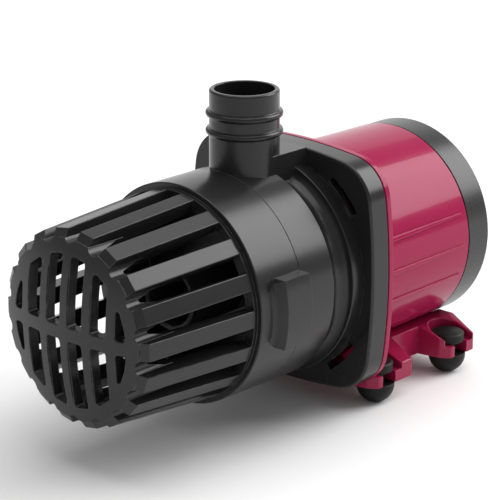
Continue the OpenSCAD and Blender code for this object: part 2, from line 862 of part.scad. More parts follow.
// The collar, with the step inside its front end that the ribs grow from.
module strainer_collar() {
    step_r = collar_in_r - rib_depth;
    rotate_extrude() polygon([
        [collar_in_r, barrel_front + seat_gap], [barrel_r, barrel_front + seat_gap],
        [barrel_r, collar_front], [collar_in_r, collar_front], [collar_in_r, end_ring_front],
        [step_r, end_ring_front], [step_r, collar_front - 3], [collar_in_r, collar_front - 3 - step_draft],
    ]);
}

module dome_ball(r) at(pump_len - dome_r) rotate([0, 90, 0]) sphere(r = r, $fn = 180);

module face_slots() {
    pitch = slot_w + slot_bar;
    reach = slot_field_r + 1;
    at(face_edge - rim_len - 1) linear_extrude(rim_len + dome_rise + 2) difference() {
        intersection() {
            circle(r = slot_field_r);
            for (side = [0, 180], k = [0:2]) let (half = k == 2 ? outer_slot_h : reach) rotate(side)
                translate([slot_bar / 2 + k * pitch, -half]) square([slot_w, 2 * half]);
        }
        square([2 * reach, cross_bar], center = true);
    }
}

// Pads to hold while pulling the strainer off, each with a ramp at its front.
module grip() {
    ramp = 5.4;
    half = grip_r * sin(grip_half_angle);
    front = barrel_front + grip_len;
    intersection() {
        at(0) rotate(-grip_half_angle - 2) rotate_extrude(angle = 2 * grip_half_angle + 4)
            polygon([
                [barrel_r - 1, barrel_front + 0.5], [grip_r, barrel_front + 0.5],
                [grip_r, front], [barrel_r - 0.3, front + ramp], [barrel_r - 1, front + ramp],
            ]);
        rotate([90, 0, 90]) linear_extrude(grip_r + 5) polygon([
            [-half, barrel_front], [half, barrel_front], [half, front],
            [0.61 * half, front + ramp + 0.1], [-0.61 * half, front + ramp + 0.1], [-half, front],
        ]);
    }
}

module strainer_cage() {
    color([0.17, 0.17, 0.17]) pump_frame() difference() {
        union() {
            strainer_collar();
            intersection() {
                union() {
                    for (k = [0:rib_count - 1]) rotate(k * 360 / rib_count) strainer_rib();
                    bore(notch_r, face_edge - rim_len, pump_len + 1);
                }
                dome_ball(dome_r);
            }
            grip();
            rotate(180) grip();
        }
        intersection() {
            bore(notch_r - rim_wall, face_edge - rim_len - 1, pump_len);
            dome_ball(dome_r - face_t);
        }
        face_slots();
    }
}

// ---- foot bracket and feet ----
module fork_plan(wing) {
    tip = foot_x + fork_reach;
    root = ledge_x - 4;
    polygon([
        [root, fork_root_w], [ledge_x, fork_root_w], [tip - tip_chamfer, fork_half_w],
        [tip, fork_half_w - 0.75 * tip_chamfer], [tip, -fork_half_w + 1.9 - wing],
        [tip - 1, -fork_half_w + 0.7 - wing], [ledge_x, -fork_root_w - wing],
        [root, -fork_root_w - wing],
    ]);
}

// One side's fork, its top falling from the ledge to the tip; x is outward, z is along the pump.
module fork(wing) {
    tip = foot_x + fork_reach;
    reach = fork_root_w + wing + 1;
    intersection() {
        translate([0, under_y, 0]) rotate([-90, 0, 0]) mirror([0, 1, 0])
            linear_extrude(ledge_h + 1) fork_plan(wing);
        translate([0, 0, -reach]) linear_extrude(2 * reach) polygon([
            [ledge_x - 4, under_y], [tip + 1, under_y],
            [tip + 1, under_y + fork_tip_h - 0.35], [ledge_x, under_y + ledge_h],
            [ledge_x - 4, under_y + ledge_h],
        ]);
    }
}

// The pocket for a foot's button and the slot for its neck, open at the fork's tip.
module foot_seat() {
    translate([foot_x, under_y + fork_floor, 0]) rotate([-90, 0, 0])
        cylinder(r = pocket_r, h = ledge_h);
    translate([foot_x, under_y + fork_floor, -pocket_r])
        cube([fork_reach + 1, ledge_h, 2 * pocket_r]);
    translate([foot_x, under_y - 1, 0]) rotate([-90, 0, 0])
        cylinder(r = slot_half_w, h = ledge_h);
    translate([foot_x, under_y - 1, -slot_half_w])
        cube([fork_reach + 1, ledge_h, 2 * slot_half_w]);
}

module foot_bracket() {
    length = bracket_front - bracket_rear;
    inner_x = ledge_x - bracket_wall;
    color([0.5, 0.09, 0.25]) pump_frame() difference() {
        union() {
            difference() {
                translate([-ledge_x, under_y, bracket_rear]) cube([2 * ledge_x, ledge_h, length]);
                difference() {
                    translate([-inner_x, under_y - 1, bracket_rear + bracket_wall])
                        cube([2 * inner_x, ledge_h - 1, length - 2 * bracket_wall]);
                    bore(motor_r + bracket_wall, bracket_rear, bracket_front);
                    translate([-bracket_wall / 2, under_y, bracket_rear])
                        cube([bracket_wall, ledge_h, length]);
                    at((bracket_rear + bracket_front) / 2 - bracket_wall / 2)
                        translate([-inner_x, under_y, 0]) cube([2 * inner_x, ledge_h, bracket_wall]);
                }
            }
            for (side = [0, 1]) mirror([side, 0, 0]) {
                at(rear_foot_at) fork(0);
                at(front_foot_at) fork(fork_wing);
            }
        }
        for (side = [0, 1], spot = [rear_foot_at, front_foot_at]) mirror([side, 0, 0])
            at(spot) foot_seat();
        bore(motor_r + seat_gap, bracket_rear - 1, bracket_front + 1);
        at(shell_front - shell_fillet - seat_gap) cylinder(
            r1 = motor_r + seat_gap, r2 = motor_r + shell_fillet + 2 * seat_gap,
            h = shell_fillet + seat_gap);
        at(bracket_front) linear_extrude(fork_root_w) flange_outline(-seat_gap);
        at(flange_seam - seat_gap) linear_extrude(fork_root_w)
            square(4 * (foot_x + fork_reach), center = true);
    }
}

module foot(side, station) {
    top = under_y + fork_floor + foot_gap;
    color([0.12, 0.12, 0.12]) pump_frame() translate([side * foot_x, 0, station])
        rotate([-90, 0, 0]) {
            intersection() {
                translate([0, 0, -foot_drop]) sphere(r = foot_r);
                translate([0, 0, -axis_h]) cylinder(r = foot_r + 1, h = axis_h + under_y - foot_gap);
            }
            translate([0, 0, under_y - 1]) cylinder(r = neck_r, h = fork_floor + 2);
            translate([0, 0, top]) cylinder(r = button_r, h = button_h - 1.2);
            translate([0, 0, top + button_h - 1.2])
                cylinder(r1 = button_r, r2 = button_r - 1, h = 0.8);
            intersection() {
                translate([0, 0, top + button_h - button_crown_r]) sphere(r = button_crown_r);
                translate([0, 0, top + 1]) cylinder(r = button_r - 1, h = button_h);
            }
        }
}

module foot_front_left() foot(-1, front_foot_at);
module foot_front_right() foot(1, front_foot_at);
module foot_rear_left() foot(-1, rear_foot_at);
module foot_rear_right() foot(1, rear_foot_at);

motor_shell();
rotor_can();
stator_core();
stator_coils();
stator_frame_front();
stator_frame_rear();
driver_board();
board_capacitors();
end_cap();
cap_seal();
cap_screws();
cable_gland();
well_plate();
foot_bracket();
foot_front_left();
foot_front_right();
foot_rear_left();
foot_rear_right();
shaft();
shaft_cushion_rear();
shaft_cushion_front();
thrust_washer_rear();
thrust_washer_front();
impeller();
impeller_shroud();
rotor_jacket();
rotor_magnet();
bush_front();
bush_rear();
volute_housing();
volute_seal();
strainer_cage();
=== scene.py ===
"""Dresses a packed circulation pump with fine mouldings, procedural finishes, a studio and a camera."""

import json
import math

import bmesh
import bpy
from mathutils import Matrix, Vector
from mathutils.geometry import delaunay_2d_cdt


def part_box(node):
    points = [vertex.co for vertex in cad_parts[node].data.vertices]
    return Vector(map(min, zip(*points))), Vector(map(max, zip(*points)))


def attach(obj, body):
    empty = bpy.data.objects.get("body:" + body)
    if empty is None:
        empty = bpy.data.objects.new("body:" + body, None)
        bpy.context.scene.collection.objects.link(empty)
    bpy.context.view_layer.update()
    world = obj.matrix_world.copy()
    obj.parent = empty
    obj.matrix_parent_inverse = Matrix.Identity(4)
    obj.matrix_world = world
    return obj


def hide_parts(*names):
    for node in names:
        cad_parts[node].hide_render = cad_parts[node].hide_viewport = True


bl_info = {
    "name": "Circulation pump dressing",
    "version": (1, 0, 0),
    "blender": (4, 5, 0),
    "location": "View3D > Sidebar > Pump",
    "description": "Builds the fine mouldings, finishes and studio of a circulation pump",
    "category": "Object",
}

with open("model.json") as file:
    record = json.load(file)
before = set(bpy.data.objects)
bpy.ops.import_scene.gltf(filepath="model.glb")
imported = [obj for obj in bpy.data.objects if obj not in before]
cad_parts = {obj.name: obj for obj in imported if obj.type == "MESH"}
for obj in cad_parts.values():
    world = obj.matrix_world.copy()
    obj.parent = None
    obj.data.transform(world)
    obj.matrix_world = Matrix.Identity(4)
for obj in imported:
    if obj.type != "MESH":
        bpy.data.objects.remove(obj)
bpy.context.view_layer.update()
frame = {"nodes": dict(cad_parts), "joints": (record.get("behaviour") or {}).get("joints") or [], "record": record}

MM = 0.001
AXIS_H = frame["joints"][0]["pos_m"][2] / MM
REAR_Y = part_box("end_cap")[1].y / MM
FRONT = REAR_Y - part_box("strainer_cage")[0].y / MM
CAP_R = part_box("end_cap")[1].x / MM
TAIL_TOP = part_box("volute_housing")[1].z / MM - AXIS_H
UNDER_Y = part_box("foot_bracket")[0].z / MM - AXIS_H

# The pump's own axes are x to the right, y up and z forward from the rear face of its end cap.
PUMP = Matrix(((1, 0, 0, 0), (0, 0, -1, REAR_Y), (0, 1, 0, AXIS_H), (0, 0, 0, 1)))

# Radii of the circle of the cap's screws, of a screw's head, shank and well, and of the holes that take
# its shank in the cap and in the shell. A well's floor is at this station.
SCREW_RING, HEAD_R, SHANK_R, WELL_R, CLEAR_R, TAPPED_R = 40, 2.8, 1.5, 3.2, 1.7, 1.55
WELL_FLOOR = 9

# The cable gland's height from the axis, the radii of its pocket, its threaded hole and the cord's hole,
# and the station of the pocket's floor.
GLAND_Y, POCKET_R, THREAD_R, CORD_R, POCKET_FLOOR = -24, 10.5, 5.65, 3.2, 7

AT_SCREW = Matrix.Translation((SCREW_RING, 0, 0))
AT_GLAND = Matrix.Translation((0, GLAND_Y, 0))

# The shell's wall, its step over the end cap, and the radius of the cove where it meets its flange.
SHELL_WALL, SHELL_STEP, SHELL_COVE = 2.6, 0.2, 4.0

# The inner radius of the bayonet's lugs and windows, and the angle of the first lug and claw.
LUG_R, LUG_TURN = 53.2, 46

# Radius of the pumping chamber, which takes the shell's boss.
CHAMBER_R = 43.9

# Radii of a foot's neck and button, and the height of its pocket's floor over the bracket's underside.
NECK_R, BUTTON_R, FORK_FLOOR = 4.4, 8.2, 5.7

# Segments round the largest rims.
FINE = 224

# Depth of the moulded grain, in metres.
GRAIN_DEPTH = 0.00004


def length(name, description, mm, low, high):
    return bpy.props.FloatProperty(
        name=name, description=description, default=mm * MM, min=low * MM, max=high * MM,
        unit="LENGTH", precision=4,
    )


def power(name, description, watts):
    return bpy.props.FloatProperty(
        name=name, description=description, default=watts, min=0, max=200, unit="POWER"
    )


def share(name, description, value):
    return bpy.props.FloatProperty(
        name=name, description=description, default=value, min=0, max=1, subtype="FACTOR"
    )


def colour(name, description, value):
    return bpy.props.FloatVectorProperty(
        name=name, description=description, default=value, size=3, min=0, max=1, subtype="COLOR"
    )


class HullSizes(bpy.types.PropertyGroup):
    motor_r: length("Motor radius", "Outer radius of the motor shell and end cap", CAP_R, 47, 51)
    cap_len: length("Cap length", "Length of the end cap", 16, 13, 22)
    shell_front: length("Shell front", "Station where the flange starts", 82.5, 76, 90)
    flange_seam: length("Flange seam", "Station of the seam between the flanges", 86, 80, 94)
    flange_half: length("Flange half width", "Half width across the flange's flats", 57.2, 57, 60)
    flange_bow: length("Flange bow", "Radius of the flange's bowed sides", 282, 220, 400)
    flange_corner: length("Flange corner", "Radius of the flange's corners", 20, 16, 24)
    edge: length("Moulding edge", "Radius of the edges of the mouldings", 0.45, 0.2, 0.8)
    ridge_h: length("Ridge height", "Height of a ridge where it meets the flange", 1.1, 0.3, 1.5)
    draft: length("Shell draft", "How much the shell widens from the cap to its flange", 0.9, 0, 1)


class VoluteSizes(bpy.types.PropertyGroup):
    barrel_r: length("Barrel radius", "Outer radius of the barrel and the collar", 51, 50, 52)
    skirt_front: length("Skirt front", "Station of the flange's front face", 97.5, 94, 102)
    lip_front: length("Lip front", "Station where the lip ring ends", 105, 102, 110)
    cove_front: length("Cove front", "Station where the cove meets the barrel", 117, 112, 122)
    barrel_front: length("Barrel front", "Station of the seam with the collar", 137.5, 132, 144)
    tail_r: length("Hose tail radius", "Outer radius of the hose tail", 16, 15, 17)
    bead_r: length("Bead radius", "Radius of a hose bead's section", 1.55, 1.2, 2.2)
    bead_drop: length("Bead drop", "From the rim of the tail to its first bead", 11, 9, 13)
    bead_pitch: length("Bead pitch", "Between the two beads", 8.2, 7, 10)


class StrainerSizes(bpy.types.PropertyGroup):
    collar_front: length("Collar front", "Station where the ribs leave the collar", 164.5, 160, 170)
    shoulder: length("Shoulder", "Station where the ribs turn down to the face", 225.9, 218, 228)
    shoulder_r: length("Shoulder radius", "Radius of the rib tops at the shoulder", 44.3, 43, 46)
    chamfer: length("Chamfer", "Length of the facets from the shoulder to the face", 2.7, 2, 4)
    rib_w: length("Rib width", "Width of a rib", 8, 7, 9)
    rib_count: bpy.props.IntProperty(
        name="Ribs", description="Number of ribs round the cage", default=18, min=14, max=20
    )
    face_r: length("Face radius", "Outer radius of the face", 40.9, 40, 43)
    notch: length("Notch depth", "Depth of the notches between the ribs", 1.7, 1, 2)
    slot_w: length("Slot width", "Width of a face slot", 8.2, 7, 9)
    slot_bar: length("Bar width", "Width of the upright bars of the face", 5, 4, 6)
    slot_round: length("Slot corner", "Radius of the corners of a face slot", 1.5, 0.5, 2.5)
    grip_r: length("Grip radius", "Outer radius of the grip blocks", 57, 55, 58)


class MountSizes(bpy.types.PropertyGroup):
    foot_x: length("Foot spacing", "From the middle of the pump across to a foot", 40, 38, 42)
    foot_r: length("Foot radius", "Radius of a foot's ball", 9, 8, 10)
    rear_foot: length("Rear foot", "Station of the rear feet", 19.2, 18, 22)
    foot_pitch: length("Foot pitch", "Distance between front and rear feet", 54.3, 52, 56)
    ledge_x: length("Bracket side", "From the middle to the side of the bracket", 32.2, 31, 33)
    ledge_h: length("Ledge height", "Height of the bracket's ledge", 14.1, 13, 15)


class FinishLooks(bpy.types.PropertyGroup):
    crimson: colour("Crimson", "Colour of the motor shell", (0.325, 0.010, 0.064))
    bracket: colour("Bracket crimson", "Colour of the foot bracket", (0.30, 0.009, 0.055))
    charcoal: colour("Charcoal", "Colour of the volute and the strainer", (0.014, 0.014, 0.0145))
    cap_grey: colour("Cap grey", "Colour of the end cap", (0.022, 0.0225, 0.022))
    rubber: colour("Rubber", "Colour of the feet", (0.006, 0.006, 0.006))
    gloss: share("Gloss", "Clear gloss of the crimson plastic", 0.2)
    # Edge wear also sets the bracket's pale edges, which are raised there into painted highlights.
    wear: share("Edge wear", "How far handling has paled the edges", 0.25)
    grain: length("Grain", "Size of the moulded grain", 0.5, 0.2, 2)


class StudioLooks(bpy.types.PropertyGroup):
    floor_tone: share("Floor tone", "Paleness of the floor", 0.92)
    key: power("Key light", "Power of the key light", 68)
    overhead: power("Overhead light", "Power of the overhead light", 50)
    back: power("Back light", "Power of the light behind the pump", 12)
    air: bpy.props.FloatProperty(
        name="Room light", description="Strength of the light from all round", default=0.4, min=0, max=4
    )
    lens: bpy.props.FloatProperty(
        name="Lens", description="Focal length of the camera, in millimetres", default=158.18,
        min=50, max=300, unit="CAMERA",
    )


GROUPS = {
    "pump_hull": HullSizes,
    "pump_volute": VoluteSizes,
    "pump_strainer": StrainerSizes,
    "pump_mounts": MountSizes,
    "pump_finish": FinishLooks,
    "pump_studio": StudioLooks,
}


class Sizes:
    """The lengths of a property group in millimetres, and its other values as they are."""

    def __init__(self, group):
        for prop in group.bl_rna.properties:
            if prop.identifier in group.__annotations__:
                value = getattr(group, prop.identifier)
                setattr(self, prop.identifier, value / MM if prop.unit == "LENGTH" else value)


# ---- drawing: closed outlines, and the solids made from them ----


def softened(corners, step=14):
    """A closed outline; a corner given as (x, y, radius) is rounded."""
    outline = []
    for i, corner in enumerate(corners):
        here = Vector(corner[:2])
        if len(corner) == 2 or corner[2] <= 0:
            outline.append(here)
            continue
        back = Vector(corners[i - 1][:2]) - here
        ahead = Vector(corners[(i + 1) % len(corners)][:2]) - here
        half = back.angle(ahead) / 2
        run = min(corner[2] / math.tan(half), 0.49 * back.length, 0.49 * ahead.length)
        radius = run * math.tan(half)
        back.normalize()
        ahead.normalize()
        centre = here + (back + ahead).normalized() * radius / math.sin(half)
        start = here + back * run - centre
        turn = math.copysign(math.pi - 2 * half, start.cross(here + ahead * run - centre))
        count = max(2, math.ceil(abs(math.degrees(turn)) / step))
        for k in range(count + 1):
            outline.append(centre + Matrix.Rotation(turn * k / count, 2) @ start)
    return outline


def disc(radius, count=96, x=0.0, y=0.0):
    return arc(radius, 0, 360, count, x, y)[:-1]


def arc(radius, start, end, count, x=0.0, y=0.0):
    """Points on an arc, with its angles in degrees."""
    turns = [math.radians(start + (end - start) * k / count) for k in range(count + 1)]
    return [(x + radius * math.cos(t), y + radius * math.sin(t)) for t in turns]


def oblong(x0, x1, y0, y1, corner=0.0):
    return [(x0, y0, corner), (x1, y0, corner), (x1, y1, corner), (x0, y1, corner)]


def mirrored(corners):
    """An outline from the corners of its right half, listed upwards, and their mirror images."""
    return [*corners, *((-corner[0], *corner[1:]) for corner in reversed(corners))]


def anticlockwise(outline):
    area = sum(a.cross(b) for a, b in zip(outline, outline[1:] + outline[:1]))
    return outline if area > 0 else outline[::-1]


def drawn_in(outline, inset):
    """The outline moved towards its inside, or outwards where the inset is negative."""
    if not inset:
        return outline
    moved = []
    for i, here in enumerate(outline):
        before, after = here - outline[i - 1], outline[(i + 1) % len(outline)] - here
        a = Vector((before.y, -before.x)).normalized()
        b = Vector((after.y, -after.x)).normalized()
        moved.append(here - (a + b) * inset / max(1 + a.dot(b), 0.2))
    return moved


def facing(x_axis, y_axis, z_axis):
    """A placing from the directions that a shape's own axes take in the pump."""
    return Matrix((x_axis, y_axis, z_axis)).transposed().to_4x4()


UPRIGHT = facing((1, 0, 0), (0, 0, -1), (0, 1, 0))
PLAN = facing((1, 0, 0), (0, 0, 1), (0, 1, 0))
EDGEWISE = facing((1, 0, 0), (0, 0, 1), (0, -1, 0))
OUTWARD = facing((0, 1, 0), (0, 0, 1), (1, 0, 0))


def as_object(verts, faces, place=Matrix()):
    """A scratch object with that mesh, in pump millimetres, its faces pointing outwards."""
    mesh = bpy.data.meshes.new("scratch")
    mesh.from_pydata(verts, [], faces)
    mesh.transform(place)
    work = bmesh.new()
    work.from_mesh(mesh)
    bmesh.ops.remove_doubles(work, verts=work.verts, dist=1e-5)
    bmesh.ops.recalc_face_normals(work, faces=work.faces)
    if work.calc_volume(signed=True) < 0:
        bmesh.ops.reverse_faces(work, faces=work.faces)
    work.to_mesh(mesh)
    work.free()
    shape = bpy.data.objects.new("scratch", mesh)
    bpy.context.scene.collection.objects.link(shape)
    return shape


def net(outline, height, spacing):
    """Triangles that fill an outline and follow height(x, y), for a crowned end."""
    xs, ys = [p.x for p in outline], [p.y for p in outline]
    points = list(outline)
    rows = math.ceil((max(ys) - min(ys)) / spacing)
    columns = math.ceil((max(xs) - min(xs)) / spacing)
    for row in range(1, rows):
        y = min(ys) + row * spacing
        crossings = sorted(
            a.x + (y - a.y) * (b.x - a.x) / (b.y - a.y)
            for a, b in zip(outline, outline[1:] + outline[:1])
            if (a.y > y) != (b.y > y)
        )
        for column in range(1, columns):
            x = min(xs) + (column + 0.5 * (row % 2)) * spacing
            if sum(c < x for c in crossings) % 2 and all(
                (p.x - x) ** 2 + (p.y - y) ** 2 > (0.5 * spacing) ** 2 for p in outline
            ):
                points.append(Vector((x, y)))
    count = len(outline)
    edges = [(i, (i + 1) % count) for i in range(count)]
    verts, _, faces, *_ = delaunay_2d_cdt(points, edges, [], 1, 1e-6)
    return [(v.x, v.y, height(v.x, v.y)) for v in verts], [tuple(f) for f in faces]


def sides(levels, count):
    """The faces between rings that follow one another, with count points in each."""
    faces = []
    for low in range(0, (levels - 1) * count, count):
        for i in range(count):
            a, b = low + i, low + (i + 1) % count
            faces.append((a, b, b + count, a + count))
    return faces


def pressed(outline, levels, place=Matrix(), spacing=2.0):
    """A solid through copies of one outline; a level is (height, inset), or has a height(x, y)."""
    outline = anticlockwise(softened(outline))
    count, last = len(outline), len(levels) - 1
    verts = [
        (p.x, p.y, height(p.x, p.y) if callable(height) else height)
        for height, inset in levels for p in drawn_in(outline, inset)
    ]
    faces = sides(len(levels), count)
    for level, ring in ((0, range(count)[::-1]), (last, range(last * count, last * count + count))):
        height, inset = levels[level]
        if callable(height):
            extra, cap = net(drawn_in(outline, inset), height, spacing)
            faces += [tuple(len(verts) + i for i in face) for face in cap]
            verts += extra
        else:
            faces.append(tuple(ring))
    return as_object(verts, faces, place)


def raised(height, by):
    return (lambda x, y: height(x, y) + by) if callable(height) else height + by


def quarter(steps=3):
    """How far a rounded rim lies below its top and inside its side, through a quarter turn."""
    turns = [math.pi / 2 * k / steps for k in range(steps + 1)]
    return [(1 - math.sin(t), 1 - math.cos(t)) for t in turns]


def block(low, high, low_edge=0.0, high_edge=0.0, steps=3):
    """Levels of a solid from low to high, with its two rims rounded."""
    bottom = [(raised(low, low_edge * below), low_edge * inset) for below, inset in quarter(steps)[::-1]]
    top = [(raised(high, -high_edge * below), high_edge * inset) for below, inset in quarter(steps)]
    return (bottom if low_edge else [(low, 0)]) + (top if high_edge else [(high, 0)])


def through(low, high, low_lip=0.0, high_lip=0.0, beyond=1.0):
    """Levels of a cutter whose hole has rounded lips where it leaves the material."""
    proud = 0.004
    levels = [(raised(low, -beyond), -low_lip)]
    for below, inset in quarter()[::-1] if low_lip else []:
        levels.append((raised(low, low_lip * below - proud), -low_lip * inset))
    for below, inset in quarter() if high_lip else []:
        levels.append((raised(high, proud - high_lip * below), -high_lip * inset))
    return levels + [(raised(high, beyond), -high_lip)]


def turned(profile, place=Matrix(), segments=160, step=14):
    """A turned solid: a closed profile of (radius, height) spun about its own z."""
    profile, verts, faces = softened(profile, step), [], []
    count = len(profile)
    for k in range(segments):
        c, s = math.cos(math.tau * k / segments), math.sin(math.tau * k / segments)
        verts += [(p.x * c, p.x * s, p.y) for p in profile]
        a, b = k * count, (k + 1) % segments * count
        for i in range(count):
            j = (i + 1) % count
            if max(profile[i].x, profile[j].x) > 1e-6:
                faces.append((a + i, b + i, b + j, a + j))
    return as_object(verts, faces, place)


def spindle(profile, place=Matrix(), segments=160, step=14):
    """A turned solid that is full as far as its axis."""
    return turned([(0, profile[0][1]), *profile, (0, profile[-1][1])], place, segments, step)


def tube(outer, inner, low, high, place=Matrix(), segments=160, edge=0.0):
    profile = [(inner, low), (outer, low, edge), (outer, high, edge), (inner, high)]
    return turned(profile, place, segments)


def sector(inner, outer, start, end, corner=0.0):
    """The outline of a part of a ring, between two angles in degrees."""
    count = max(4, math.ceil((end - start) / 2))
    rows = arc(outer, start, end, count), arc(inner, end, start, count)
    for row in rows:
        row[0] = (*row[0], corner)
        row[-1] = (*row[-1], corner)
    return rows[0] + rows[1]


def flange_outline(hull, inset=0.0):
    """The rounded square with bowed sides that both flanges share."""
    half, bow, corner = hull.flange_half - inset, hull.flange_bow - inset, hull.flange_corner - inset
    a, d = half - bow, bow - corner
    c = (a + math.sqrt(2 * d * d - a * a)) / 2
    reach = math.degrees(math.atan2(c, c - half + bow))
    side = arc(bow, -reach, reach, 18, half - bow)[:-1] + arc(corner, reach, 90 - reach, 14, c, c)[:-1]
    return [Matrix.Rotation(math.pi / 2 * k, 2) @ Vector(p) for k in range(4) for p in side]


def scalloped_rim(cage):
    """The outline of the strainer's face, with a half-round scoop between each two ribs."""
    pitch = 360 / cage.rib_count
    side = pitch / 2 - math.degrees(math.asin(cage.rib_w / 2 / cage.face_r))
    depth, reach = cage.notch, cage.face_r * math.sin(math.radians(side))
    radius = (reach**2 + depth**2) / (2 * depth)
    lean = math.degrees(math.asin(reach / radius))
    floor = cage.face_r * math.cos(math.radians(side)) - depth
    scoop = arc(radius, 180 + lean, 180 - lean, 10, floor + radius)
    scoop[0], scoop[-1] = (*scoop[0], 0.45), (*scoop[-1], 0.45)
    one = scoop + arc(cage.face_r, side, pitch - side, 4)[1:-1]
    corners = []
    for k in range(cage.rib_count):
        turn = Matrix.Rotation(math.radians((k + 0.5) * pitch), 2)
        corners += [(*(turn @ Vector(p[:2])), *p[2:]) for p in one]
    return corners


# ---- joining and cutting ----


def settled(shape):
    """The shape with its modifiers worked into its mesh."""
    made = bpy.data.meshes.new_from_object(shape.evaluated_get(bpy.context.evaluated_depsgraph_get()))
    shape.modifiers.clear()
    shape.data = made
    return shape


def combined(base, others, operation):
    for other in others:
        step = base.modifiers.new(operation, "BOOLEAN")
        step.operation, step.solver, step.object = operation, "MANIFOLD", other
    settled(base)
    for other in others:
        bpy.data.objects.remove(other)
    return base


def joined(base, *others):
    return combined(base, others, "UNION")


def cut(base, *tools):
    return combined(base, tools, "DIFFERENCE")


def kept(base, *tools):
    return combined(base, tools, "INTERSECT")


def copy_of(shape, place):
    twin = shape.copy()
    twin.data = shape.data.copy()
    bpy.context.scene.collection.objects.link(twin)
    twin.data.transform(place)
    if place.determinant() < 0:
        twin.data.flip_normals()
    return twin


def both_sides(shape, across=(1, 0, 0)):
    """The shape and its mirror image across the middle of the pump."""
    return [shape, copy_of(shape, Matrix.Scale(-1, 4, across))]


def built_once(build):
    """Makes a node group when it is first asked for, and gives the same one after that."""

    def get():
        return bpy.data.node_groups.get(build.__name__) or build(build.__name__)

    return get


@built_once
def round_the_axis(name):
    """Geometry nodes that repeat a piece about the pump's axis."""
    tree = bpy.data.node_groups.new(name, "GeometryNodeTree")
    tree.is_modifier = True
    sockets = tree.interface
    for label, kind in (("Geometry", "Geometry"), ("Copies", "Int"), ("First angle", "Float"),
                        ("Step", "Float"), ("Finish", "Material")):
        socket = sockets.new_socket(label, in_out="INPUT", socket_type=f"NodeSocket{kind}")
        if kind == "Float":
            socket.subtype = "ANGLE"
    sockets.new_socket("Geometry", in_out="OUTPUT", socket_type="NodeSocketGeometry")
    take = node(tree, "NodeGroupInput").outputs
    spots = node(tree, "GeometryNodeMeshLine", {"Count": take["Copies"], "Offset": (0, 0, 0)})
    index = node(tree, "GeometryNodeInputIndex").outputs[0]
    turn = worked_out(tree, "MULTIPLY_ADD", index, take["Step"], take["First angle"])
    axis = node(tree, "ShaderNodeCombineXYZ", {"Z": turn})
    copies = node(tree, "GeometryNodeInstanceOnPoints", {
        "Points": spots.outputs[0], "Instance": take["Geometry"], "Rotation": axis.outputs[0],
    })
    real = node(tree, "GeometryNodeRealizeInstances", {"Geometry": copies.outputs[0]})
    painted = node(tree, "GeometryNodeSetMaterial", {"Geometry": real.outputs[0], "Material": take["Finish"]})
    node(tree, "NodeGroupOutput", {0: painted.outputs[0]})
    return tree


def repeated(shape, copies, first=0.0, finish=None, step=None):
    """The shape as that many copies about the pump's axis, its angles in degrees."""
    repeat = shape.modifiers.new("repeat", "NODES")
    repeat.node_group = round_the_axis()
    values = {
        "Copies": copies, "First angle": math.radians(first), "Step": math.radians(step or 360 / copies),
        "Finish": finish,
    }
    for socket in repeat.node_group.interface.items_tree:
        if socket.in_out == "INPUT" and values.get(socket.name) is not None:
            repeat[socket.identifier] = values[socket.name]
    return settled(shape)


def finished(shape, name, slot, body, *nodes, sharp=30):
    """Puts a moulding in its place in metres, gives it its edges and finish, and hands it over."""
    mesh = shape.data
    mesh.transform(Matrix.Scale(MM, 4) @ PUMP)
    work = bmesh.new()
    work.from_mesh(mesh)
    bmesh.ops.remove_doubles(work, verts=work.verts, dist=2e-6)
    bmesh.ops.dissolve_degenerate(work, edges=work.edges, dist=1e-6)
    limit = math.radians(sharp)
    for face in work.faces:
        face.smooth, face.material_index = True, 0
    for edge in work.edges:
        edge.smooth = len(edge.link_faces) == 2 and edge.calc_face_angle(0) < limit
    work.to_mesh(mesh)
    work.free()
    mesh.materials.clear()
    mesh.materials.append(finish_named(slot))
    shape.modifiers.new("even shading", "WEIGHTED_NORMAL").keep_sharp = True
    settled(shape)
    shape.name = shape.data.name = name
    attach(shape, body)
    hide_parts(*nodes)
    return shape


# ---- finishes ----


def node(tree, kind, inputs=None, **settings):
    """Adds a node; an input takes a value or another node's output."""
    made = tree.nodes.new(kind)
    for key, value in settings.items():
        setattr(made, key, value)
    for key, value in (inputs or {}).items():
        if isinstance(value, bpy.types.NodeSocket):
            tree.links.new(value, made.inputs[key])
        else:
            made.inputs[key].default_value = value
    return made


def group_tree(name, inputs, outputs):
    """An empty shader group; an input is (name, default) or (name, None) for a vector."""
    tree = bpy.data.node_groups.new(name, "ShaderNodeTree")
    for label, default in inputs:
        kind = "NodeSocketVector" if default is None else "NodeSocketFloat"
        socket = tree.interface.new_socket(label, in_out="INPUT", socket_type=kind)
        if default is not None:
            socket.default_value = default
    for label in outputs:
        tree.interface.new_socket(label, in_out="OUTPUT", socket_type="NodeSocketFloat")
    return tree, node(tree, "NodeGroupInput").outputs, node(tree, "NodeGroupOutput").inputs


def ranged(tree, value, from_low, from_high, to_low, to_high):
    limits = (value, from_low, from_high, to_low, to_high)
    return node(tree, "ShaderNodeMapRange", dict(enumerate(limits))).outputs[0]


def worked_out(tree, operation, *values, clamp=False):
    """The output of a maths node; each value is a number or another node's output."""
    inputs = dict(enumerate(values))
    return node(tree, "ShaderNodeMath", inputs, operation=operation, use_clamp=clamp).outputs[0]


def noise(tree, where, scale, detail):
    return node(tree, "ShaderNodeTexNoise", {"Vector": where, "Scale": scale, "Detail": detail}).outputs[0]


